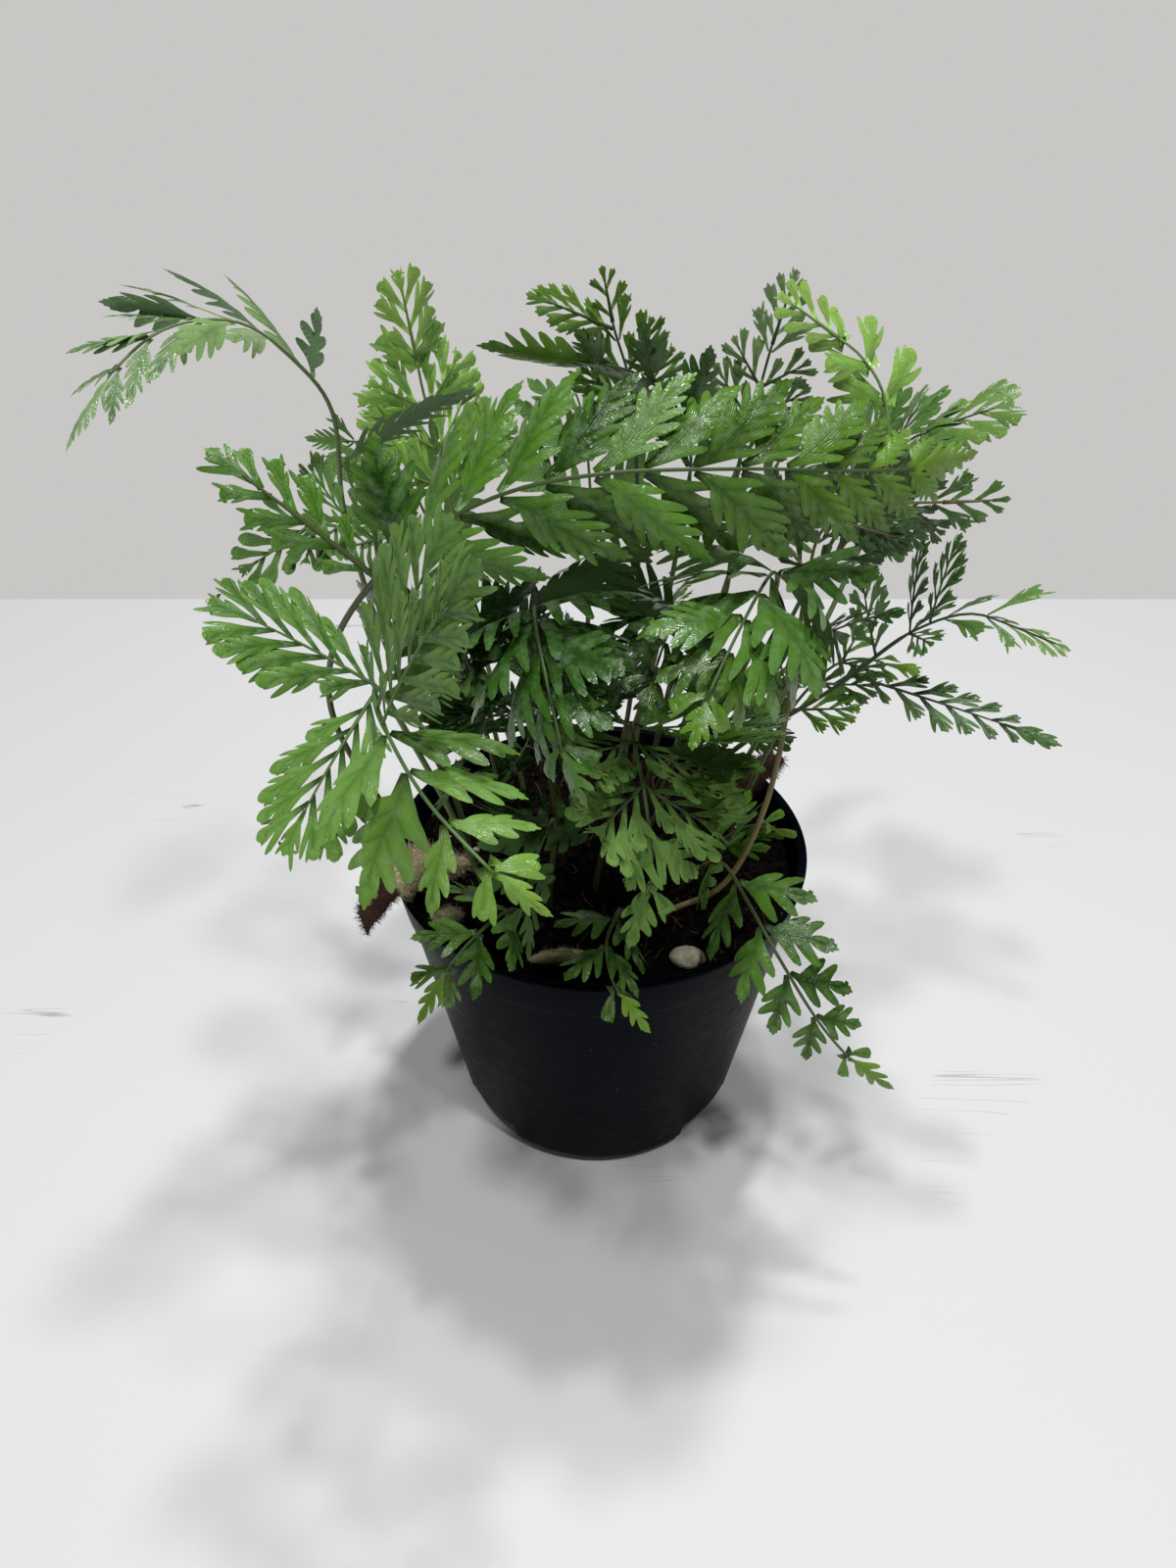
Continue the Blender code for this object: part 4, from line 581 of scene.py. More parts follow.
def table_finish(settings):
    """White painted board, with a faint worn grain that runs across it and a few hair cracks along it."""
    made, add, shader, place = new_finish("white_painted_board", Roughness=0.6)
    drawn = add("ShaderNodeMapping", {"Vector": place, "Scale": (0.35, 6.0, 1)})
    line = add(NOISE, {"Vector": drawn, "Scale": grain_scale(60), "Detail": 6.0, "Roughness": 0.75})
    cloud = add(NOISE, {"Vector": place, "Scale": grain_scale(300), "Detail": 2.0, "Roughness": 0.55})
    cloud = add(RAMP, {"Value": cloud, "From Min": 0.3, "From Max": 0.7, "To Max": 0.6})
    shade = [c * 0.95 for c in settings.table]
    colour = add(MIX, {0: cloud, MIX_A: settings.table, MIX_B: shade}, data_type="RGBA")
    worn = add(RAMP, {"Value": line, "From Min": 0.66, "From Max": 0.8, "To Max": 0.3})
    colour = add(MIX, {0: worn, MIX_A: colour, MIX_B: linear(WORN)}, data_type="RGBA")
    # A crack runs where a long noise crosses its middle, and only in some places
    long = add("ShaderNodeMapping", {"Vector": place, "Scale": (0.28, 7.0, 1)})
    crack_and_painted_shade = add(NOISE, {"Vector": long, "Scale": grain_scale(55), "Detail": 2.0, "Roughness": 0.5})
    crack_and_painted_shade = add(MATH, {0: crack_and_painted_shade, 1: 0.5}, operation="SUBTRACT")
    crack_and_painted_shade = add(MATH, {0: crack_and_painted_shade}, operation="ABSOLUTE")
    crack_and_painted_shade = add(RAMP, {"Value": crack_and_painted_shade, "From Min": 0.0, "From Max": 0.006, "To Min": 1.0, "To Max": 0.0})
    some = add(NOISE, {"Vector": place, "Scale": grain_scale(70), "Detail": 2.0, "Roughness": 0.55})
    some = add(RAMP, {"Value": some, "From Min": 0.64, "From Max": 0.69, "To Max": 0.6})
    crack = add(MATH, {0: crack_and_painted_shade, 1: some}, operation="MULTIPLY")
    colour = add(MIX, {0: crack, MIX_A: colour, MIX_B: linear(CRACK)}, data_type="RGBA")
    bump = add(BUMP, {"Height": line, "Distance": 0.2 * MM, "Strength": 0.4})
    feed(shader, {"Base Color": colour, "Normal": bump})
    return made


def add_piece(name, mesh, finishes=()):
    """An object of a mesh, at the origin, with its finishes."""
    for finish in finishes:
        mesh.materials.append(finish)
    made = bpy.data.objects.new(name, mesh)
    bpy.context.scene.collection.objects.link(made)
    return made


def shade_smooth(mesh):
    """Shades every face smooth."""
    mesh.polygons.foreach_set("use_smooth", [True] * len(mesh.polygons))


def new_mesh(name, bm):
    """A mesh from a bmesh, which is freed."""
    mesh = bpy.data.meshes.new(name)
    bm.to_mesh(mesh)
    bm.free()
    return mesh


def mesh_of(name, bm, smooth=True):
    """A mesh in metres from a bmesh in millimetres, with its faces pointing outwards."""
    bmesh.ops.scale(bm, vec=(MM, MM, MM), verts=bm.verts)
    bmesh.ops.recalc_face_normals(bm, faces=bm.faces)
    mesh = new_mesh(name, bm)
    if smooth:
        shade_smooth(mesh)
    return mesh


def sharpen(mesh, degrees):
    """Marks the edges between faces that meet at more than the angle, so that they shade crisp."""
    mesh.set_sharp_from_angle(angle=math.radians(degrees))


def applied(thing):
    """Replaces an object's mesh by what its modifiers make of it, and removes them."""
    shape = bpy.data.meshes.new_from_object(thing.evaluated_get(bpy.context.evaluated_depsgraph_get()))
    thing.modifiers.clear()
    thing.data = shape
    return thing


def settle(piece, slot, *nodes):
    """Says what the piece rides on and which solids it stands for, which it hides. The slot is not used."""
    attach(piece, BODY)
    if nodes:
        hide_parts(*nodes)


def new_tree(name, *sockets):
    """A Geometry Nodes tree with the given inputs, and the outputs of its group input."""
    tree = bpy.data.node_groups.new(name, "GeometryNodeTree")
    for socket, kind in sockets:
        tree.interface.new_socket(socket, in_out="INPUT", socket_type="NodeSocket" + kind)
    tree.interface.new_socket("Geometry", in_out="OUTPUT", socket_type="NodeSocketGeometry")
    return tree, add_node(tree, "NodeGroupInput").outputs


def end_tree(tree, shape, finish):
    """Ends a tree with plain geometry in one finish."""
    real = add_node(tree, "GeometryNodeRealizeInstances", {"Geometry": shape})
    done = add_node(tree, "GeometryNodeSetMaterial", {"Geometry": real.outputs[0], "Material": finish})
    add_node(tree, "NodeGroupOutput", {"Geometry": done.outputs[0]})
    return tree


def grown_on(thing, tree, values):
    """The plain mesh that a tree makes of an object, with its inputs set to the values."""
    layer = thing.modifiers.new(tree.name, "NODES")
    layer.node_group = tree
    for item in tree.interface.items_tree:
        if item.item_type == "SOCKET" and item.in_out == "INPUT" and item.name in values:
            layer[item.identifier] = values[item.name]
    mesh = bpy.data.meshes.new_from_object(thing.evaluated_get(bpy.context.evaluated_depsgraph_get()))
    thing.modifiers.clear()
    return mesh


def lathe_tree(name):
    """Geometry Nodes that turn a profile line round Z. The line holds a radius in X and a depth in Y."""
    tree, given = new_tree(name, ("Profile", "Geometry"), ("Sides", "Int"), ("Axis", "Float"), ("Weld", "Float"),
                           ("Finish", "Material"))
    line = add_node(tree, "GeometryNodeMeshToCurve", {"Mesh": given["Profile"]})
    ring = add_node(tree, "GeometryNodeCurvePrimitiveCircle", {"Resolution": given["Sides"],
                                                               "Radius": given["Axis"]}, mode="RADIUS")
    shell = add_node(tree, "GeometryNodeCurveToMesh", {"Curve": ring.outputs[0], "Profile Curve": line.outputs[0]})
    weld = add_node(tree, "GeometryNodeMergeByDistance", {"Geometry": shell.outputs[0], "Distance": given["Weld"]})
    outward = add_node(tree, "GeometryNodeFlipFaces", {"Mesh": weld.outputs[0]})
    return end_tree(tree, outward.outputs[0], given["Finish"])


def turned(name, profile, sides, finish):
    """A solid of revolution. Its profile, in millimetres, starts and ends on the axis."""
    line = bpy.data.meshes.new(name)
    line.from_pydata([(r * MM, -z * MM, 0.0) for r, z in profile], [(i, i + 1) for i in range(len(profile) - 1)], [])
    made = add_piece(name, line)
    tree = bpy.data.node_groups.get("turned_shell") or lathe_tree("turned_shell")
    values = {"Sides": sides, "Axis": AXIS_RADIUS * MM, "Weld": WELD * MM, "Finish": finish}
    made.data = grown_on(made, tree, values)
    shade_smooth(made.data)
    return made


def wall_radius(z):
    """The pot's outer radius at height z, below its collar."""
    share = (z - SHOULDER) / (POT_HEIGHT - SHOULDER)
    return BASE_RADIUS + (RIM_RADIUS - COLLAR_STEP - BASE_RADIUS) * share


def rounded(corner, before, after, radius):
    """Points of a small round in place of a profile's corner."""
    corner, before, after = [Vector(p) for p in (corner, before, after)]
    start = corner + (before - corner).normalized() * radius
    end = corner + (after - corner).normalized() * radius
    return [tuple(start.lerp(corner, t).lerp(corner.lerp(end, t), t)) for t in (0.0, 0.25, 0.5, 0.75, 1.0)]


def build_pot(settings):
    """The pot's shell, turned with a rolled lip and soft corners, and its drain notches cut out."""
    collar = POT_HEIGHT - COLLAR_HEIGHT
    inside = RIM_RADIUS - WALL - COLLAR_STEP
    lip = settings.lip / MM
    corners = [
        (0.0, 0.0), (BASE_RADIUS - SHOULDER, 0.0), (wall_radius(SHOULDER), SHOULDER),
        (wall_radius(collar), collar), (wall_radius(collar) + COLLAR_STEP, collar + COLLAR_STEP),
        (RIM_RADIUS, POT_HEIGHT), (inside, POT_HEIGHT), (wall_radius(SHOULDER) - WALL, SHOULDER + WALL),
        (BASE_RADIUS - SHOULDER, WALL), (0.0, WALL),
    ]
    rounds = {1: 1.2, 2: 1.2, 3: 0.5, 4: 0.35, 5: lip, 6: lip}
    profile = []
    for i, corner in enumerate(corners):
        if i in rounds:
            profile += rounded(corner, corners[i - 1], corners[i + 1], rounds[i])
        else:
            profile.append(corner)
    pot = turned("nursery_pot", profile, settings.sides, pot_finish(settings))
    bm = bmesh.new()
    for degrees in NOTCH_TURNS:
        made = bmesh.ops.create_cube(bm, size=2.0)["verts"]
        bmesh.ops.scale(bm, vec=(NOTCH_WIDTH / 2, NOTCH_WIDTH / 2, NOTCH_HEIGHT), verts=made)
        bmesh.ops.translate(bm, vec=(BASE_RADIUS - NOTCH_DEPTH + NOTCH_WIDTH / 2, 0, 0), verts=made)
        bmesh.ops.rotate(bm, cent=(0, 0, 0), matrix=Matrix.Rotation(math.radians(degrees), 3, "Z"), verts=made)
    cutter = add_piece("notch_cutter", mesh_of("notch_cutter", bm))
    cut = pot.modifiers.new("notches", "BOOLEAN")
    cut.operation, cut.solver, cut.object = "DIFFERENCE", "EXACT", cutter
    applied(pot)
    bpy.data.objects.remove(cutter)
    sharpen(pot.data, 32)
    settle(pot, "pot_plastic", "pot")


def soil_height(x, y):
    """The soil's top: a low dome with a few lumps."""
    reach = RIM_RADIUS - WALL
    dome = SOIL_DOME * (1 - (x * x + y * y) / reach**2)
    return SOIL_LEVEL + dome + SOIL_LUMP * noise.noise(Vector((x, y, SOIL_LEVEL)) / SOIL_LUMP_WIDTH)


def peat_height(x, y, relief):
    """The dome with the finer crumbly relief of loose peat."""
    rough = noise.fractal(Vector((x, y, 0.0)) / RELIEF_WIDTH, 0.7, 2.1, 4)
    return soil_height(x, y) + relief * rough


def build_soil(settings):
    """The peat fill, turned from its profile, with a crumbly top."""
    relief = settings.relief / MM
    edge = wall_radius(SOIL_LEVEL) - WALL - SOIL_ROOM
    profile = [(0.0, WALL + GAP), (BASE_RADIUS - SHOULDER - WALL, WALL + GAP),
               *[(edge * (SOIL_RINGS - k) / SOIL_RINGS, SOIL_LEVEL) for k in range(SOIL_RINGS + 1)]]
    soil = turned("peat_fill", profile, SOIL_SIDES, peat_finish(settings))
    for vert in soil.data.vertices:
        if vert.co.z > (SOIL_LEVEL - 0.5) * MM:
            vert.co.z = peat_height(vert.co.x / MM, vert.co.y / MM, relief) * MM
    settle(soil, "soil", "soil")


def scatter_tree(name):
    """Geometry Nodes that strew one small shape over a surface, leaned and sized at random."""
    tree, given = new_tree(name, ("Geometry", "Geometry"), ("Density", "Float"), ("Smallest", "Float"),
                           ("Largest", "Float"), ("Lean", "Float"), ("Seed", "Int"), ("Shape", "Object"),
                           ("Finish", "Material"))
    points = add_node(tree, "GeometryNodeDistributePointsOnFaces",
                      {"Mesh": given["Geometry"], "Density": given["Density"], "Seed": given["Seed"]})
    back = add_node(tree, MATH, {0: given["Lean"], 1: -1.0}, operation="MULTIPLY")
    low = add_node(tree, "ShaderNodeCombineXYZ", {0: back, 1: back, 2: 0.0}).outputs[0]
    high = add_node(tree, "ShaderNodeCombineXYZ", {0: given["Lean"], 1: given["Lean"], 2: math.tau}).outputs[0]
    lean = add_node(tree, "FunctionNodeRandomValue", {0: low, 1: high, "Seed": given["Seed"]},
                    data_type="FLOAT_VECTOR").outputs[0]
    turn = add_node(tree, "FunctionNodeRotateRotation",
                    {"Rotation": points.outputs["Rotation"], "Rotate By": lean}, rotation_space="LOCAL")
    scale = add_node(tree, "FunctionNodeRandomValue",
                     {2: given["Smallest"], 3: given["Largest"], "Seed": given["Seed"]}, data_type="FLOAT")
    shape = add_node(tree, "GeometryNodeObjectInfo", {"Object": given["Shape"]}, transform_space="ORIGINAL")
    strewn = add_node(tree, "GeometryNodeInstanceOnPoints",
                      {"Points": points.outputs["Points"], "Instance": shape.outputs["Geometry"],
                       "Rotation": turn.outputs[0], "Scale": scale.outputs[1]})
    return end_tree(tree, strewn.outputs[0], given["Finish"])


def strew(name, ground, shape, finish, density, smallest, largest, lean, seed):
    """Strews a shape over a ground object and gives the result back as a plain object."""
    tree = bpy.data.node_groups.get("strewn_shapes") or scatter_tree("strewn_shapes")
    values = {"Density": density, "Smallest": smallest, "Largest": largest, "Lean": lean, "Seed": seed,
              "Shape": shape, "Finish": finish}
    return add_piece(name, grown_on(ground, tree, values))


def crumb_shape(name):
    """One uneven flattened crumb a unit in radius, to be strewn."""
    bm = bmesh.new()
    bmesh.ops.create_icosphere(bm, subdivisions=1, radius=1.0)
    for vert in bm.verts:
        push = noise.noise(vert.co * 1.3 + Vector((7.3, 0, 0)))
        vert.co = Vector((vert.co.x, vert.co.y * 0.8, vert.co.z * 0.65)) * (1 + 0.9 * push)
    return add_piece(name, new_mesh(name, bm))


def ground_disc(name, radius, relief):
    """A disc that follows the peat, as the ground for what is strewn on it."""
    bm = bmesh.new()
    rows = []
    for k in range(GROUND_RINGS + 1):
        r, row = radius * k / GROUND_RINGS, []
        for j in range(GROUND_SIDES):
            turn = math.tau * j / GROUND_SIDES
            x, y = r * math.cos(turn), r * math.sin(turn)
            row.append(bm.verts.new((x, y, peat_height(x, y, relief))))
        rows.append(row)
    for low, high in zip(rows, rows[1:]):
        for j in range(GROUND_SIDES):
            i = (j + 1) % GROUND_SIDES
            bm.faces.new((low[j], high[j], high[i], low[i]))
    bmesh.ops.remove_doubles(bm, verts=bm.verts, dist=0.01)
    bmesh.ops.scale(bm, vec=(MM, MM, MM), verts=bm.verts)
    bmesh.ops.recalc_face_normals(bm, faces=bm.faces)
    if sum(face.normal.z for face in bm.faces) < 0:
        bmesh.ops.reverse_faces(bm, faces=bm.faces)
    return add_piece(name, new_mesh(name, bm))


def build_crumbs(settings):
    """Loose peat crumbs, fibres and perlite over the soil."""
    relief = settings.relief / MM
    ground = ground_disc("peat_ground", RIM_RADIUS - WALL - COLLAR_STEP - CRUMB_ROOM, relief)
    shape = crumb_shape("crumb_shape")
    crumbs = strew("peat_crumbs", ground, shape, peat_finish(settings), settings.crumb_density,
                   settings.crumb_small, settings.crumb_large, ANY_WAY, CRUMB_SEED)
    settle(crumbs, "soil")
    perlite = stone_finish("expanded_perlite", linear(PERLITE_SHADE), settings.perlite, linear(PERLITE_FLECK), 1.2)
    grains = strew("perlite_grains", ground, shape, perlite, PERLITE_DENSITY, *PERLITE_SIZES, ANY_WAY,
                   PERLITE_SEED)
    settle(grains, "gravel")
    fibre = fibre_shape("fibre_shape")
    dry = fur_finish("dry_peat_fibre", linear(FIBRE_SHADE), linear(FIBRE))
    strands = strew("peat_fibres", ground, fibre, dry, FIBRE_DENSITY, *FIBRE_SIZES, FIBRE_LEAN, FIBRE_SEED)
    settle(strands, "soil")
    for thing in (ground, shape, fibre):
        bpy.data.objects.remove(thing)


def fibre_shape(name):
    """A thin bent strand a unit long, to be strewn."""
    line = [Vector((0.12 * math.sin(3 * t), 0.08 * math.cos(4 * t), t)) for t in (0, 0.25, 0.5, 0.75, 1.0)]
    return add_piece(name, new_mesh(name, tube(line, [0.03, 0.035, 0.03, 0.025, 0.008], 3)))


def tube(points, radii, sides):
    """A closed round body through the points, with a radius at each."""
    bm = bmesh.new()
    rings = []
    aside = None
    for i, (point, radius) in enumerate(zip(points, radii)):
        along = (points[min(i + 1, len(points) - 1)] - points[max(i - 1, 0)]).normalized()
        if aside is None:
            aside = along.orthogonal().normalized()
        aside = (aside - along * aside.dot(along)).normalized()
        other = along.cross(aside)
        turns = [math.tau * k / sides for k in range(sides)]
        rings.append([bm.verts.new(point + (aside * math.cos(a) + other * math.sin(a)) * radius) for a in turns])
    for low, high in zip(rings, rings[1:]):
        for k in range(sides):
            bm.faces.new((low[k], low[(k + 1) % sides], high[(k + 1) % sides], high[k]))
    bm.faces.new(list(reversed(rings[0])))
    bm.faces.new(rings[-1])
    return bm


def smooth_line(points, steps=CURVE_STEPS):
    """A centripetal Catmull-Rom curve through the points."""
    points = [Vector(p) for p in points]
    ends = [points[0] * 2 - points[1], *points, points[-1] * 2 - points[-2]]
    line = []
    for a, b, c, d in zip(ends, ends[1:], ends[2:], ends[3:]):
        t1 = math.sqrt((b - a).length)
        t2 = t1 + math.sqrt((c - b).length)
        t3 = t2 + math.sqrt((d - c).length)
        for step in range(steps):
            t = t1 + (t2 - t1) * step / steps
            ab = a.lerp(b, t / t1)
            bc = b.lerp(c, (t - t1) / (t2 - t1))
            cd = c.lerp(d, (t - t2) / (t3 - t2))
            line.append(ab.lerp(bc, t / t2).lerp(bc.lerp(cd, (t - t1) / (t3 - t1)), (t - t1) / (t2 - t1)))
    return [*line, points[-1]]


class Spine:
    """A stem's middle line, with the direction that the frond's upper side faces carried along it."""

    def __init__(self, row):
        x, y = row["path"][0]
        foot = [(x, y, z) for z in (ROOT_LEVEL, SOIL_LEVEL - 2, SOIL_LEVEL + 3)]
        self.line = smooth_line([*foot, *row["path"][1:]])
        self.at_length = [0.0]
        for a, b in zip(self.line, self.line[1:]):
            self.at_length.append(self.at_length[-1] + (b - a).length)
        self.length = self.at_length[-1]
        self.bare = self.length * row["bare"]
        steps = [(b - a).normalized() for a, b in zip(self.line, self.line[1:])]
        self.along = [steps[0], *[(a + b).normalized() for a, b in zip(steps, steps[1:])], steps[-1]]
        first = next(i for i, s in enumerate(self.at_length) if s >= self.bare)
        self.up = [None] * len(self.line)
        self.up[first] = self.square(Vector(row["face"]), first)
        for i in range(first + 1, len(self.line)):
            self.up[i] = self.square(self.up[i - 1], i)
        for i in range(first - 1, -1, -1):
            self.up[i] = self.square(self.up[i + 1], i)

    def square(self, wanted, i):
        """The wanted direction, made square to the stem at a point."""
        return (wanted - self.along[i] * wanted.dot(self.along[i])).normalized()

    def at(self, s):
        """The point, the direction along the stem and the direction of the upper side at length s."""
        s = min(max(s, 0.0), self.length - 1e-6)
        i = next(k for k in range(len(self.line) - 1) if self.at_length[k + 1] > s)
        t = (s - self.at_length[i]) / (self.at_length[i + 1] - self.at_length[i])
        along = self.along[i].lerp(self.along[i + 1], t).normalized()
        up = self.up[i].lerp(self.up[i + 1], t)
        return self.line[i].lerp(self.line[i + 1], t), along, (up - along * up.dot(along)).normalized()

    def radius(self, s):
        """The solid's stem radius at length s."""
        return STIPE_RADIUS + (TIP_RADIUS - STIPE_RADIUS) * (s / self.length) ** 1.5

    def ring(self, s):
        """The three corners of the solid's stem at s: left and right above, and the keel below."""
        point, along, up = self.at(s)
        left, radius = up.cross(along), self.radius(s)
        return [point + left * radius + up * radius * 0.4, point - left * radius + up * radius * 0.4,
                point - up * radius * 0.8]


class Leaflet:
    """Where one leaflet sits: its foot, its direction and its upper side, bent in an arc along its length."""

    def __init__(self, foot, direction, up, length, droop):
        self.foot, self.direction, self.up = foot, direction, up
        self.across = up.cross(direction)
        self.length, self.bend = length, max(droop, 1e-3) / length

    def point(self, s, w, lift=0.0):
        """The place s along the leaflet, w to its left and lift above it."""
        turn = self.bend * s
        middle = self.foot + (self.direction * math.sin(turn) - self.up * (1 - math.cos(turn))) / self.bend
        return middle + self.across * w + (self.up * math.cos(turn) + self.direction * math.sin(turn)) * lift


def blade_shape(share):
    """Half width of a leaflet's outline at a share of its length, as a share of the widest."""
    return min(1.0, (share + 0.15) / 0.42) * (1 - min(share, 1.0) ** 2.2) ** 0.8


def outwards(spine, s, side):
    """The direction in which that side of the stem looks."""
    ring = spine.ring(s)
    return (ring[SIDES[side][0]] + ring[SIDES[side][1]] - 2 * spine.at(s)[0]).normalized()


def side_branch(row, spine, x, y, z, width, angle=None):
    """The place on the stem from which a branch with the frond's lean reaches the given tip.

    A branch with a lean of its own leaves from the last such place."""
    tip, lean = Vector((x, y, z)), math.radians(angle or row["angle"])
    found = []
    for step in range(BRANCH_STEPS):
        s = spine.length * (0.25 + 0.7 * step / BRANCH_STEPS)
        point, along, _ = spine.at(s)
        found.append((abs(along.angle(tip - point) - lean), s))
    s = max(s for miss, s in found if miss < SAME_ANGLE) if angle else min(found)[1]
    way = tip - spine.at(s)[0]
    side = max(SIDES, key=lambda name: outwards(spine, s, name).dot(way))
    return s, side, (way.length, way.normalized(), Vector(row["face"]), width)


def ordinary_leaf(spine, s, side, angle, length, width):
    """A leaflet that leans from the stem by the angle, on one side of it."""
    _, along, up = spine.at(s)
    angle, left = math.radians(angle), up.cross(along)
    way = along * math.cos(angle) + (left if side == "left" else -left) * math.sin(angle)
    return length, way, up, width


def leaf_plan(row, spine):
    """Every place on the stem that bears leaves: its length and, for each side, a leaf's size and turn."""
    plan = []
    for branch in row.get("side", ()):
        s, side, leaf = side_branch(row, spine, *branch)
        while any(abs(other[0] - s) < NODE_ROOM for other in plan):
            s += 0.5
        plan.append((s, {side: leaf}))
    span, pairs = spine.length - spine.bare, row["pairs"]
    for k in range(pairs):
        share = k / pairs
        s = spine.bare + span * (1 - (1 - (k + 0.15) / (pairs + 0.6)) ** 1.1)
        length = row["long"] * (1 - share ** row["fall"])
        if length < SHORTEST_LEAF:
            break
        angle, width = row["angle"] - LEAN_LOSS * share, LEAF_BASE + row["wide"] * length
        pair = {side: ordinary_leaf(spine, s, side, angle, length, width) for side in ("left", "right")}
        near = [other for other in plan if abs(other[0] - s) < NODE_ROOM]
        if near:
            near[0][1].update({side: leaf for side, leaf in pair.items() if side not in near[0][1]})
        else:
            plan.append((s, pair))
    return sorted(plan, key=lambda place: place[0])


def place_leaflet(spine, s, side, leaf, fold, share, droop):
    """A leaflet on one side of the stem, folded round it by the angle and as long as the share of its leaf.

    Its face stays near enough to the stem's side to join it."""
    length, way, face, _ = leaf
    corners = [spine.ring(at)[i] for at in (s - LEAF_BASE / 2, s + LEAF_BASE / 2) for i in SIDES[side]]
    along = spine.at(s)[1]
    turn = Matrix.Rotation(math.radians(fold), 3, along)
    way, face = turn @ way, turn @ face
    face = (face - way * face.dot(way)).normalized()
    easy = along.cross(way).normalized()
    easy = easy if easy.dot(face) > 0 else -easy
    if face.angle(easy) > MOST_TWIST:
        aside = (face - easy * face.dot(easy)).normalized()
        face = easy * math.cos(MOST_TWIST) + aside * math.sin(MOST_TWIST)
    return Leaflet(sum(corners, Vector()) / 4, way, face, length * share, math.radians(droop))


def fitted_leaflet(row, spine, s, side, leaf, solid):
    """The fold and length that the solid's own leaflet has. None where the solid has no leaflet there."""
    for share in SHARES:
        found = []
        for fold in FOLDS:
            leaflet = place_leaflet(spine, s, side, leaf, fold, share, row["droop"])
            gaps = [solid.find_nearest(leaflet.point(leaflet.length * at, 0.0))[3] for at in PROBES]
            found.append((sum(gaps) / len(gaps), abs(fold), fold, leaflet))
        best = min(found, key=lambda item: item[:3])
        if best[0] < FIT:
            return best[3], leaf[3] * share
    return None


class Axis:
    """A blade's midrib, drawn flat in its leaflet's plane. early turns its foot and late its tip."""

    def __init__(self, root, turn, length, early=0.0, late=0.0):
        self.length, self.points, self.ways = length, [Vector(root)], []
        for k in range(AXIS_STEPS):
            a = (k + 0.5) / AXIS_STEPS
            angle = turn + early * max(0.0, 1 - a / 0.35) ** 2 + late * a * a
            self.ways.append(Vector((math.cos(angle), math.sin(angle))))
            self.points.append(self.points[-1] + self.ways[-1] * length / AXIS_STEPS)

    def at(self, a):
        """The point and the direction at share a of the length."""
        k = min(int(a * AXIS_STEPS), AXIS_STEPS - 1)
        return self.points[k].lerp(self.points[k + 1], a * AXIS_STEPS - k), self.ways[k]

    def off(self, a, b):
        """The point b millimetres to the left of share a."""
        point, way = self.at(a)
        return point + Vector((-way.y, way.x)) * b


class Form:
    """How a blade is cut: its half width and neck, its lobes a side and the shares that they start and end at.

    joined is the share of a lobe's reach that is grown together, lean its lean from the midrib and fuller the
    side with longer lobes. The outline is full between foot and peak, and crown is the shape of its tip."""

    def __init__(self, half, neck, lobes, start, end, joined, lean, fuller, foot, peak, crown=None):
        self.half, self.neck, self.lobes, self.start, self.end = half, neck, lobes, start, end
        self.joined, self.lean, self.fuller, self.foot, self.peak = joined, lean, fuller, foot, peak
        self.crown = crown

    def width(self, a):
        """Half width of the outline at share a: a wedge at the foot, drawn in to the tip after the peak."""
        grown = min(1.0, (a + 0.12) / (self.foot + 0.12))
        return self.half * grown * (1 - max(0.0, (a - self.peak) / (1.06 - self.peak)) ** 2)

    def extent(self, a, length):
        """How far the vein that leaves a blade of that length at share a runs before it meets the outline."""
        slope = self.slope(a)
        return self.width(min(0.96, a + 0.8 * self.half / math.tan(slope) / length)) / math.sin(slope)

    def station(self, k):
        """The share at which the lobe with that number starts."""
        return self.start + (self.end - self.start) * k / max(self.lobes, 1)

    def slope(self, a):
        """A lobe's lean from the midrib at share a, less towards the tip."""
        return self.lean * (1 - 0.25 * a)


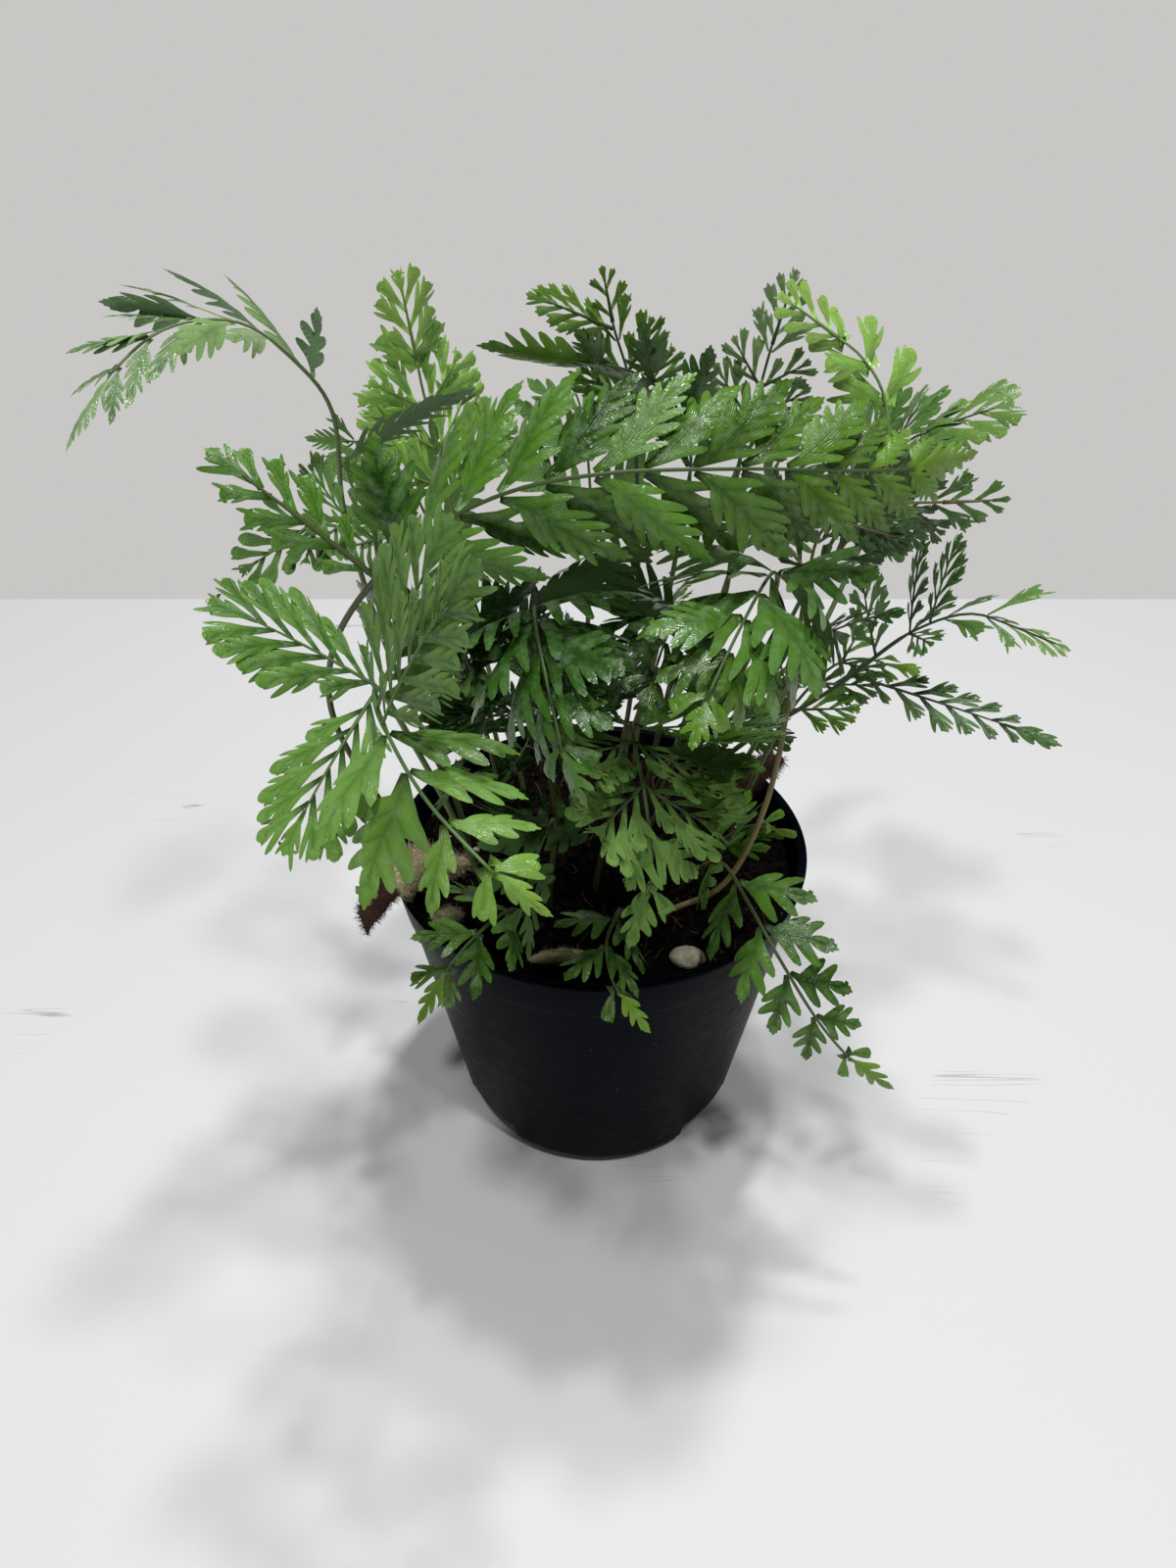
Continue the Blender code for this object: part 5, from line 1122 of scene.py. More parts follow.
class Sheet:
    """Gathers one frond's vertices and faces, with the marks that its finishes read."""

    def __init__(self, settings, dice):
        self.settings, self.dice = settings, dice
        self.verts, self.marks, self.faces, self.finish, self.rims = [], [], [], [], set()

    def put(self, point, mark):
        """Adds a vertex and gives its number."""
        self.verts.append(point)
        self.marks.append(mark)
        return len(self.verts) - 1

    def face(self, corners, finish):
        """Adds a face. The finish is 0 for the upper side, 1 for the underside and 2 for a stem."""
        self.faces.append(tuple(corners))
        self.finish.append(finish)

    def panel(self, a, b, c):
        """A triangle of the upper skin and the one below it. A corner is its flat place and its two vertices."""
        if (b[0] - a[0]).cross(c[0] - a[0]) < 0:
            b, c = c, b
        self.face((a[1], b[1], c[1]), 0)
        self.face((a[2], c[2], b[2]), 1)

    def fan(self, hub, corners):
        """Panels from a hub to each step between the corners."""
        for b, c in zip(corners, corners[1:]):
            self.panel(hub, b, c)

    def rim(self, corners):
        """Marks the steps between the corners as the blade's crisp edge."""
        for a, b in zip(corners, corners[1:]):
            self.rims |= {(a[1], b[1]), (b[1], a[1])}

    def blade(self, leaflet, axis, form, own, share, slat=1.0):
        """A closed blade: two skins that meet in a sharp rim of forward lobes, with a groove at the midrib.

        own is its shade, share its place on the frond and slat how much more than usual it leans."""
        settings, dice = self.settings, self.dice
        thick = settings.blade / MM / 2
        cup = settings.cup * form.half * dice.uniform(*BEND_SPREAD)
        louvre = settings.louvre * form.half * form.fuller * dice.uniform(*BEND_SPREAD) * slat
        sag = settings.sag * axis.length * dice.uniform(*SAG_SPREAD)

        def corner(flat, a, v, u, above=None, below=0.0, rise=0.0):
            """A flat place with its vertex or two. v runs from midrib to lobe's tip, u from vein to lobe's edge."""
            point, way = axis.at(min(a, 1.0))
            b = (flat - point).dot(Vector((-way.y, way.x))) / form.half
            lift = (louvre * b - cup * b * b) * min(1.0, a * 3) - sag * a * a + rise
            mark = (v, u, own, share)
            top = self.put(leaflet.point(flat.x, flat.y, lift + (above or 0.0)), mark)
            if above is None:
                return flat, top, top
            return flat, top, self.put(leaflet.point(flat.x, flat.y, lift - below), mark)

        def rib(a):
            """A point of the midrib's groove."""
            return corner(axis.at(a)[0], a, v=0.0, u=1.0, above=0.1 * thick, below=thick)

        def cut(k, side):
            """Where a lobe parts from the next."""
            a = form.station(k)
            point, way = axis.at(a)
            reach = form.joined * form.extent(a, axis.length) * (1.0 if 0 < k < form.lobes else END_CUT)
            way = Matrix.Rotation(form.slope(a) * side, 2) @ way
            return corner(point + way * reach, a + 0.03, v=form.joined, u=1.0)

        def lobe(k, side, cuts):
            """One lobe between two cuts."""
            a0, a1 = form.station(k), form.station(k + 1)
            low, high, middle = axis.at(a0)[0], axis.at(a1)[0], (a0 + a1) / 2
            slope = form.slope(middle) * dice.uniform(*LEAN_SPREAD)
            way = Matrix.Rotation(slope * side, 2) @ axis.at(middle)[1]
            gain = dice.uniform(*REACH_SPREAD) * (FULLER_SIDE if side == form.fuller else OTHER_SIDE)
            reach = form.extent(middle, axis.length) * gain
            tilt = settings.tilt * (high - low).length * dice.uniform(*TILT_SPREAD)

            def spot(u, v, above=None, below=0.0):
                """A corner at share u across the lobe and v out along it."""
                flat, rise = low.lerp(high, u) + way * v * reach, tilt * (0.5 - u) * max(0.0, v - form.joined)
                return corner(flat, a0 + (a1 - a0) * u + v * reach * math.cos(slope) / axis.length, v,
                              abs(2 * u - 1), above, below, rise)

            broad = (high - low).length * math.sin(slope) > TOOTHED_FROM
            edge = [spot(u, form.joined + (1 - form.joined) * t) for u, t in (TOOTHED_LOBE if broad else PLAIN_LOBE)]
            inner, outer = [spot(0.5, v, above * thick, below * thick) for v, above, below in (INNER_HUB, OUTER_HUB)]
            self.fan(inner, [ribs[k + 2], ribs[k + 1], cuts[k], edge[0], outer, edge[-1], cuts[k + 1], ribs[k + 2]])
            self.fan(outer, edge)
            self.rim([cuts[k], *edge, cuts[k + 1]])

        ribs = [rib(a) for a in (0.0, *[form.station(k) for k in range(form.lobes + 1)])]
        ends = []
        for side in (1, -1):
            foot = corner(axis.off(0.0, side * form.neck), 0.0, v=0.3, u=1.0)
            cuts = [cut(k, side) for k in range(form.lobes + 1)]
            self.fan(ribs[0], [foot, cuts[0], ribs[1]])
            self.rim([foot, cuts[0]])
            for k in range(form.lobes):
                lobe(k, side, cuts)
            top, bottom = ribs[0][1:]
            self.face((top, bottom, foot[1]) if side > 0 else (bottom, top, foot[1]), 1)
            ends.append(cuts[-1])
        a = form.station(form.lobes)
        wide = max(form.width(a) * (0.5 if form.lobes else 1.0), form.half * 0.3)
        crown = form.crown or (LARGE_CROWN if wide > LARGE_FROM else SMALL_CROWN)
        outline = [corner(axis.off(a + (1 - a) * t, b * wide), a + (1 - a) * t, v=t, u=1.0)
                   for t, b in [*crown, *[(t, -b) for t, b in reversed(crown)]]]
        out, above, below = CROWN_HUB
        middle = a + (1 - a) * out
        hub = corner(axis.at(middle)[0], middle, v=out, u=0.0, above=above * thick, below=below * thick)
        self.fan(hub, [ribs[-1], ends[0], *outline, ends[1], ribs[-1]])
        self.rim([ends[0], *outline, ends[1]])

    def keep_inside(self, first, root):
        """Shrinks what was grown since the given vertex towards its root, until it is in the solids' box."""
        share = 1.0
        for vert in self.verts[first:]:
            for i in range(3):
                for limit in (CAD_BOX[0][i] / MM + BLADE_ROOM, CAD_BOX[1][i] / MM - BLADE_ROOM):
                    reach, room = vert[i] - root[i], limit - root[i]
                    if reach * room > 0 and abs(reach) > abs(room):
                        share = min(share, room / reach)
        self.verts[first:] = [root + (vert - root) * share for vert in self.verts[first:]]

    def cane(self, rings, marks, finish):
        """A closed round stem through rings of points that run the same way round."""
        rows = [[self.put(point, mark) for point in ring] for ring, mark in zip(rings, marks)]
        count = len(rows[0])
        for low, high in zip(rows, rows[1:]):
            for k in range(count):
                j = (k + 1) % count
                self.face((low[k], low[j], high[j], high[k]), finish)
        self.face(reversed(rows[0]), finish)
        self.face(rows[-1], finish)

    def mesh(self, name):
        """The finished mesh in metres, with its marks and crisp rims."""
        mesh = bpy.data.meshes.new(name)
        mesh.from_pydata([v * MM for v in self.verts], [], self.faces)
        mesh.polygons.foreach_set("material_index", self.finish)
        shade_smooth(mesh)
        marks = mesh.attributes.new("blade", "FLOAT_COLOR", "POINT")
        marks.data.foreach_set("color", [v for mark in self.marks for v in mark])
        crisp = mesh.attributes.new("sharp_edge", "BOOLEAN", "EDGE")
        crisp.data.foreach_set("value", [tuple(edge.vertices) in self.rims for edge in mesh.edges])
        return mesh


def grow_strap(sheet, leaflet, width, cut, habit, tipward, share, own):
    """A leaflet that is one long blade, lobed on both sides and swept towards the frond's tip."""
    # The frond's last leaflets are narrower by up to three tenths
    length, width = leaflet.length, width * (1 - 0.3 * max(0.0, share - 0.8) / 0.2)
    pitch = max(habit.pitch, STRAP_PITCH * min(width / habit.broad, STRAP_COARSEST))
    lobes = max(3, round(length * 0.7 / pitch))
    joined = max(min(0.56, 0.2 + 0.75 * cut), habit.joined if habit.strap else 0.0)
    half = width * (habit.blunt if habit.strap else 0.52)
    slope = min(STRAP_LEANS[1], max(STRAP_LEANS[0], math.atan(half / (0.26 * length))))
    form = Form(half, neck=0.5, lobes=lobes, start=0.08, end=0.8, joined=joined, lean=slope, fuller=tipward,
                foot=0.3, peak=0.5)
    axis = Axis((0.0, -tipward * 0.02 * length), 0.0, length * 1.08, early=tipward * 0.6, late=tipward * 0.34)
    sheet.blade(leaflet, axis, form, own, share, slat=2.2)


def grow_wedge(sheet, leaflet, width, habit, tipward, share, own):
    """A small leaflet that is one wedge, split into a few forward fingers."""
    length = leaflet.length
    lobes = min(max(2, habit.teeth), 1 + sum(length > step for step in WEDGE_FINGERS))
    neck, start, foot = (1.6, 0.12, 0.25) if habit.crown else (0.2, 0.26, 0.5)
    form = Form(width * habit.blunt, neck, lobes, start, end=0.74, joined=habit.joined,
                lean=math.radians(22 + 20 * habit.joined), fuller=tipward, foot=foot, peak=0.72, crown=habit.crown)
    axis = Axis((0.0, -tipward * 0.02 * length), 0.0, length * 1.1, early=tipward * 0.5, late=tipward * 0.3)
    sheet.blade(leaflet, axis, form, own, share)


def grow_feather(sheet, leaflet, width, cut, habit, lean, share, own):
    """A leaflet with a narrow winged rib and rows of wedge-shaped segments."""
    dice, length = sheet.dice, leaflet.length
    pairs = max(2, round(length * 0.75 / ((2.4 + 0.05 * length) * (0.95 + 0.9 * cut) * habit.coarse)))
    step = length * 0.75 / pairs
    lean = min(habit.lean, lean)
    for k in range(pairs):
        for side in (1, -1):
            s = length * 0.03 + step * (k + 0.35 + (0.0 if side > 0 else 0.3))
            reach = max(1.8, width * 0.6 * blade_shape(s / length) / math.sin(lean)) * dice.uniform(0.92, 1.1)
            turn = side * lean * dice.uniform(0.92, 1.06) * (1 - 0.22 * k / pairs)
            half = min(step * math.sin(lean) * 0.8, reach * 0.36) * habit.slim
            lobes = min(habit.teeth, sum(reach > step for step in SEGMENT_TEETH))
            form = Form(half, 0.2 + 1.2 * cut, lobes, *SEGMENT_SPANS[lobes], joined=0.5, lean=math.radians(29),
                        fuller=-side, foot=0.55, peak=0.72, crown=habit.crown)
            axis = Axis((s - 0.12 * reach, 0.0), turn, reach * 1.1, early=-turn * 0.5, late=-turn * 0.16)
            sheet.blade(leaflet, axis, form, min(1.0, max(0.0, own + dice.uniform(-0.16, 0.16))), share)
    # The last segment lies along the rib, and a narrow wing runs from the foot to it
    half = max(0.9, 0.5 * width * blade_shape(0.8))
    lobes = 1 if length < 14 else 2
    form = Form(half * habit.slim, neck=0.3, lobes=lobes, start=0.16, end=0.5 + 0.1 * lobes, joined=0.5,
                lean=math.radians(32), fuller=1, foot=0.5, peak=0.65)
    sheet.blade(leaflet, Axis((length * 0.74, 0.0), 0.0, length * 0.28), form, own, share)
    wing = 0.3 + 0.6 * cut
    count = max(4, round(length / STEM_STEP))
    rows = []
    for k in range(count + 1):
        s = length * 0.8 * k / count
        side = wing * (1.15 - 0.7 * k / count)
        rows.append([sheet.put(leaflet.point(s, w, lift), (share, 0.5, own, share))
                     for w, lift in ((side, 0.0), (0.0, 0.2), (-side, 0.0), (0.0, -0.3))])
    for low, high in zip(rows, rows[1:]):
        for j in range(4):
            i = (j + 1) % 4
            sheet.face((low[j], high[j], high[i], low[i]), 2)
    sheet.face(rows[0], 2)
    sheet.face(reversed(rows[-1]), 2)


def grow_leaflet(sheet, leaflet, width, cut, habit, lean, tipward, share):
    """A leaflet in the frond's habit, kept inside the solids' box."""
    own, width, first = sheet.dice.random(), width * habit.broad, len(sheet.verts)
    if leaflet.length < habit.wedge:
        grow_wedge(sheet, leaflet, width, habit, tipward, share, own)
    elif leaflet.length < max(habit.strap, STRAP_LONGEST if cut > STRAP_CUT else 0.0):
        grow_strap(sheet, leaflet, width, cut, habit, tipward, share, own)
    else:
        grow_feather(sheet, leaflet, width, cut, habit, lean, share, own)
    sheet.keep_inside(first, leaflet.point(0.0, 0.0))


def grow_stem(sheet, spine, end):
    """The stipe and rachis: round below, with a shallow groove along the upper side."""
    count = max(8, round((spine.length - end) / STEM_STEP))
    rings, marks = [], []
    for k in range(count + 1):
        s = (spine.length - end) * k / count
        point, along, up = spine.at(s)
        left, radius = up.cross(along), spine.radius(s) * (STEM_SHARE if s < spine.bare else RACHIS_SHARE)
        ring = []
        for j in range(STEM_SIDES):
            turn = math.tau * j / STEM_SIDES
            out = radius * (0.72 if j in STEM_GROOVE and s > spine.bare * 0.6 else 1.0)
            ring.append(point + left * math.cos(turn) * radius + up * math.sin(turn) * out)
        rings.append(ring)
        marks.append((s / spine.length, 0.5, 0.5, s / spine.length))
    sheet.cane([list(reversed(ring)) for ring in rings], marks, 2)


def solid_tree(name):
    """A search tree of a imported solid, in millimetres."""
    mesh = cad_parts[name].data
    return BVHTree.FromPolygons([v.co / MM for v in mesh.vertices], [tuple(p.vertices) for p in mesh.polygons])


class Habit:
    """How a frond's leaflets are cut.

    coarse and slim scale their segments, lean is their lean and teeth the most that a side has. A leaflet up to
    wedge long is one wedge, blunt its half width over the plate's and joined how far its fingers are one. broad
    is how much a leaflet outgrows its plate. Tips may be rounded, and leaflets shorter than strap are one long
    blade whose lobes are at least pitch apart."""

    def __init__(self, coarse=1.15, slim=1.0, lean=46, teeth=3, wedge=9.0, broad=1.0, joined=0.34, blunt=0.6,
                 rounded=False, strap=0.0, pitch=0.0):
        self.coarse, self.slim, self.lean, self.teeth = coarse, slim, math.radians(lean), teeth
        self.wedge, self.broad, self.joined, self.blunt = wedge, broad, joined, blunt
        self.crown, self.strap, self.pitch = ROUND_CROWN if rounded else None, strap, pitch


# The plain cut, the small fingered blades in front and the broad ones of the clump's middle
PLAIN_HABIT = Habit()
FINGERED = Habit(wedge=8.5, broad=1.1, joined=0.28, blunt=0.44, rounded=True, strap=30, pitch=3.1)
LUSH = Habit(broad=1.6, coarse=1.2, slim=1.2, wedge=7, blunt=0.44, rounded=True, strap=14, pitch=3.0)
HABITS = {
    "frond_right_sweep": Habit(slim=1.1, teeth=2, rounded=True),
    "frond_left_arch": Habit(wedge=6, joined=0.28, blunt=0.32, strap=99),
    "frond_left_mid": Habit(slim=1.15, teeth=1, wedge=8, broad=1.25, joined=0.6, rounded=True),
    "frond_inner_left": Habit(coarse=1.3, slim=1.15, lean=42, teeth=2, wedge=10, broad=1.2, joined=0.54, rounded=True),
    "frond_top_right": Habit(wedge=12, broad=1.1, joined=0.5, blunt=0.5, rounded=True),
    "frond_right_low": Habit(slim=0.8, lean=38, teeth=2, wedge=12),
    "frond_near_left": Habit(slim=1.15, wedge=8, joined=0.54, blunt=0.38, rounded=True, strap=26, pitch=4.0),
    **{"frond_" + name: LUSH for name in ("centre", "centre_left", "centre_right", "centre_low", "centre_dark",
                                          "left_inner", "right_inner", "right_back")},
    **{"frond_" + name: FINGERED for name in ("front_right", "front", "front_left", "right_small", "low_left",
                                              "low_middle", "low_right")},
}


def build_frond(row, number, settings, finishes):
    """One frond on the stem line and the leaflet places of its solid."""
    spine, solid = Spine(row), solid_tree(row["name"])
    sheet = Sheet(settings, random.Random(FROND_SEED + number))
    plan, habit = leaf_plan(row, spine), HABITS.get(row["name"], PLAIN_HABIT)
    for s, leaves in plan:
        for side, leaf in leaves.items():
            fit = fitted_leaflet(row, spine, s, side, leaf, solid)
            if fit:
                along = spine.at(s)[1]
                lean = min(LOBE_LEAN, leaf[1].angle(along) - LEAN_ROOM)
                tipward = 1 if along.dot(fit[0].across) > 0 else -1
                grow_leaflet(sheet, fit[0], fit[1], row["cut"], habit, lean, tipward, s / spine.length)
    end = spine.length - plan[-1][0] - LEAF_BASE
    point, along, up = spine.at(spine.length - end)
    tip = Leaflet(point, along, up, end, math.radians(row["droop"] * 0.3))
    grow_leaflet(sheet, tip, LEAF_BASE + 0.45 * end, row["cut"], habit, LOBE_LEAN, 1, 1.0)
    grow_stem(sheet, spine, end)
    piece = add_piece("fine_" + row["name"], sheet.mesh(row["name"]), finishes)
    settle(piece, "leaf_" + row["leaf"], row["name"])


# Upper side's deep and bright green, tip, veins, and the underside's deep and bright green
LEAVES = {
    "dark": ("#071a02", "#2b5415", "#568226", "#456a35", "#3b5a2a", "#5c7c44"),
    "green": ("#112d07", "#48722a", "#6d982b", "#557c3b", "#456a2f", "#6a8a4d"),
    "grey": ("#203e16", "#58833b", "#7a9f48", "#688c50", "#507340", "#789662"),
    "young": ("#22430d", "#578722", "#86a934", "#739a3a", "#507a2a", "#7da04a"),
    # Light yellow-greens, partly painted light: the glow of light through thin backlit blades
    "fresh_and_backlit": ("#4c7c26", "#96c858", "#a2cc5c", "#a6c878", "#88b258", "#aacc7c"),
    "soft": ("#1b4010", "#66903f", "#86ae40", "#7a9a52", "#587f38", "#7fa25a"),
    # Grey pale greens, partly painted reflection: the silvery sheen of blades that face away from the lamps
    "pale": ("#44662f", "#84a462", "#8aa878", "#8fae80", "#66875a", "#8ba880"),
    # A lighter copy of the plain green, painted light from the front on the fronds that wear it
    "sunlit": ("#183808", "#55812a", "#7ea334", "#62893c", "#48702d", "#76984f"),
}
PLAIN_SHINE = 0.6
SHINE = {"sunlit": 0.35, "soft": 0.25}
# Fronds in another finish than their row's colour. Some are lighter copies of a green that paint in light from
# the front, light through backlit blades and a silvery reflection; one is a lighter, less glossy green
LOOKS = {"frond_right_sweep": "sunlit", "frond_near_left": "soft", "frond_centre_low": "sunlit",
         "frond_front_right": "sunlit", "frond_front": "sunlit", "frond_inner_left": "fresh_and_backlit",
         "frond_top_right": "fresh_and_backlit", "frond_top_centre": "sunlit", "frond_top_grey": "pale",
         "frond_left_arch": "pale"}
# Stipes that are not brown at the foot and green at the top as the plain one is
STEMS = {
    "frond_right_tall": ("#7d6f45", "#5d5a33"),
    "frond_right_low": ("#3d3a1f", "#2e4a24"),
    "frond_near_left": ("#5b6b3a", "#55783a"),
    "frond_left_arch": ("#5a5c34", "#6c8050"),
    "frond_inner_left": ("#5c6434", "#6e8c42"),
    "frond_top_right": ("#5c6434", "#789650"),
    "frond_left_mid": ("#4e5228", "#4e6c30"),
}
PLAIN_STEM = ("#4a4522", "#40582a")


def build_fronds(settings):
    """Every frond, each in the finish of its colour, some in lighter copies of a green that paint in light."""
    upper = {}
    for kind, (deep, bright, tip, vein, under, under_bright) in LEAVES.items():
        shine = SHINE.get(kind, PLAIN_SHINE)
        upper[kind] = (leaf_finish(f"waxy_{kind}_blade", deep, bright, tip, vein, settings.gloss, shine),
                       underside_finish(f"matt_{kind}_underside", under, under_bright, vein))
    stems = {}
    for number, row in enumerate(FRONDS):
        look = STEMS.get(row["name"], PLAIN_STEM)
        if look not in stems:
            stems[look] = stem_finish(f"fern_stipe_{len(stems)}", *look)
        blades = upper[LOOKS.get(row["name"], row["leaf"])]
        build_frond(row, number, settings, [*blades, stems[look]])


def lying(x, y, radius):
    """The middle of something round that lies on the soil."""
    return x, y, soil_height(x, y) + GAP + 0.1 + radius


def rhizome_lines():
    """The creeping stems' middle lines and radii, as the solids have them."""
    rim = POT_HEIGHT + GAP
    return {
        "rhizome_left": ((lying(-33, -4, 1.9), lying(-38, -9, 4.6), (-43, -14.5, rim + 3.9),
                          (-46.5, -19, rim + 4.5), (-48.5, -22, rim + 4.2)), (1.2, 2.9, 3.8, 4.1, 3.6)),
        "rhizome_left_tip": (((-48.9, -22.6, rim + 4.0), (-51.0, -25.4, rim + 3.0), (-52.8, -27.4, rim + 0.2),
                              (-53.4, -28.2, rim - 2.6), (-53.6, -28.6, rim - 5.2)), (3.0, 3.2, 2.5, 1.0, 0.25)),
        "rhizome_bud": ((lying(-32.5, -22, 1.4), lying(-34.5, -23.2, 2.2), lying(-37, -24.6, 2.4),
                         lying(-38.6, -25.6, 1.8)), (0.8, 2.2, 2.4, 1.0)),
        "rhizome_front": ((lying(-16, -36.5, 0.8), lying(-13, -36.5, 1.5), lying(-8, -36, 1.7),
                           lying(-3, -35, 1.0)), (0.5, 1.5, 1.7, 0.6)),
        "rhizome_right": ((lying(32, 17, 1.4), lying(36.5, 20, 5.0), (41.5, 24, rim + 3.1),
                           (45.5, 27.5, rim + 2.9), (48.5, 30, rim + 2.4)), (1.0, 2.8, 3.0, 2.8, 1.2)),
    }


def hair_shape(name, width):
    """A thin tapering hair a unit long, bent at its tip, to be strewn."""
    line = [Vector(p) for p in ((0.0, 0.0, -0.05), (0.03, 0.0, 0.35), (0.12, 0.02, 0.7), (0.3, 0.05, 1.0))]
    return add_piece(name, new_mesh(name, tube(line, [width, width * 0.85, width * 0.55, width * 0.12], 3)))


def build_rhizomes(settings):
    """Furry creeping stems: a knobbly core with hairs or scales strewn over it."""
    pale = fur_finish("pale_rhizome_fur", linear(FUR_SHADE), settings.fur)
    brown = fur_finish("brown_rhizome_scales", linear(SCALE_SHADE), settings.scale)
    looks = {
        "rhizome_left": (pale, "rhizome_fur", 1.0, 0.02),
        "rhizome_left_tip": (brown, "rhizome_scales", 0.55, 0.05),
        "rhizome_bud": (pale, "rhizome_fur", 0.5, 0.03),
        "rhizome_front": (pale, "rhizome_fur", 0.35, 0.03),
        "rhizome_right": (brown, "rhizome_scales", 0.7, 0.04),
    }
    for number, (name, (line, radii)) in enumerate(rhizome_lines().items()):
        finish, slot, long, width = looks[name]
        points = smooth_line(line, RHIZOME_STEPS)
        swell = []
        for k in range(len(points) - 1):
            i, share = k // RHIZOME_STEPS, k % RHIZOME_STEPS / RHIZOME_STEPS
            swell.append(radii[i] * (1 - share) + radii[i + 1] * share)
        swell.append(radii[-1])
        bm = tube(points, swell, RHIZOME_SIDES)
        for vert in bm.verts:
            push = noise.noise(vert.co / KNOB_WIDTH + Vector((number, 0, 0)))
            near = min(range(len(points)), key=lambda i: (points[i] - vert.co).length)
            vert.co += (vert.co - points[near]).normalized() * push * KNOB_SHARE * swell[near]
        core = add_piece("core", mesh_of("core", bm), [finish])
        hair = hair_shape("hair", width)
        length = settings.hair_length * long
        fur = strew("fur", core, hair, finish, settings.hair_density, length * SHORTEST_HAIR, length, HAIR_LEAN,
                    FUR_SEED + number)
        joined = bmesh.new()
        for part in (core, fur):
            joined.from_mesh(part.data)
        piece = add_piece("furry_" + name, new_mesh(name, joined), [finish])
        shade_smooth(piece.data)
        for thing in (core, fur, hair):
            bpy.data.objects.remove(thing)
        settle(piece, slot, name)


def build_pebble():
    """One worn pale stone."""
    bm = bmesh.new()
    bmesh.ops.create_icosphere(bm, subdivisions=5, radius=1.0)
    place = Vector(lying(*PEBBLE_PLACE, PEBBLE_RADII[2]))
    for vert in bm.verts:
        push = 0.09 * noise.noise(vert.co * 1.1) + 0.03 * noise.noise(vert.co * 4.0)
        vert.co = Vector([c * r for c, r in zip(vert.co, PEBBLE_RADII)]) * (0.97 + push) + place
    stone = stone_finish("worn_river_gravel", linear(GRAVEL_SHADE), linear(GRAVEL), linear(GRAVEL_FLECK), 2.2)
    settle(add_piece("river_pebble", mesh_of("river_pebble", bm), [stone]), "gravel", "pebble")


def build_stage(settings):
    """A white table that ends behind the pot, pale surroundings, soft lights above and the photograph's camera."""
    bm = bmesh.new()
    made = bmesh.ops.create_cube(bm, size=1.0)["verts"]
    bmesh.ops.scale(bm, vec=TABLE_SIZE, verts=made)
    bmesh.ops.translate(bm, vec=(0, TABLE_BACK - TABLE_SIZE[1] / 2, -TABLE_SIZE[2] / 2), verts=made)
    add_piece("table_top", mesh_of("table_top", bm, False), [table_finish(settings)])
    world = bpy.data.worlds.new("pale_room")
    world.use_nodes = True
    tree = world.node_tree
    way = add_node(tree, "ShaderNodeTexCoord").outputs["Generated"]
    height = add_node(tree, "ShaderNodeSeparateXYZ", {0: way}).outputs["Z"]
    up = add_node(tree, RAMP, {"Value": height, "From Min": 0.08, "From Max": 0.42})
    colour = add_node(tree, MIX, {0: up, MIX_A: settings.wall, MIX_B: (settings.ceiling,) * 3}, data_type="RGBA")
    feed(tree.nodes["Background"], {0: colour})
    bpy.context.scene.world = world
    lamps = (("top_lamp", (0.08, 0.2, 1.6), 0.08, settings.overhead),
             ("right_lamp", (0.32, -0.55, 1.4), 0.09, settings.side),
             ("left_lamp", (-0.25, -0.44, 1.35), 0.09, settings.side),
             ("back_lamp", (0.16, 0.36, 1.5), 0.1, settings.overhead))
    for name, place, width, power in lamps:
        light = bpy.data.lights.new(name, "AREA")
        light.energy, light.size = power, width
        lamp = bpy.data.objects.new(name, light)
        lamp.location = place
        lamp.rotation_euler = (Vector(LAMP_TARGET) - Vector(place)).to_track_quat("-Z", "Y").to_euler()
        bpy.context.scene.collection.objects.link(lamp)
    lens = bpy.data.cameras.new("photograph")
    lens.sensor_width, lens.lens, lens.clip_start = CAMERA_SENSOR, CAMERA_LENS, 0.005
    camera = bpy.data.objects.new("photograph", lens)
    camera.location = CAMERA_PLACE
    camera.rotation_euler = Euler((math.pi / 2 - CAMERA_PITCH, 0.0, 0.0))
    bpy.context.scene.collection.objects.link(camera)
    bpy.context.scene.camera = camera
    bpy.context.scene.view_settings.view_transform = "Standard"


class FERN_OT_pot(bpy.types.Operator):
    """Build the black nursery pot"""

    bl_idname = "fern.pot"
    bl_label = "Nursery pot"
    bl_options = {"REGISTER", "UNDO"}

    def execute(self, context):
        build_pot(context.scene.fern_pot)
        return {"FINISHED"}


class FERN_OT_soil(bpy.types.Operator):
    """Build the peat with its crumbs, fibres and perlite"""

    bl_idname = "fern.soil"
    bl_label = "Peat and crumbs"
    bl_options = {"REGISTER", "UNDO"}

    def execute(self, context):
        build_soil(context.scene.fern_soil)
        build_crumbs(context.scene.fern_soil)
        return {"FINISHED"}


class FERN_OT_pebble(bpy.types.Operator):
    """Build the pebble on the peat"""

    bl_idname = "fern.pebble"
    bl_label = "Pebble"
    bl_options = {"REGISTER", "UNDO"}

    def execute(self, context):
        build_pebble()
        return {"FINISHED"}


class FERN_OT_rhizomes(bpy.types.Operator):
    """Build the furry creeping rhizomes"""

    bl_idname = "fern.rhizomes"
    bl_label = "Furry rhizomes"
    bl_options = {"REGISTER", "UNDO"}

    def execute(self, context):
        build_rhizomes(context.scene.fern_rhizome)
        return {"FINISHED"}


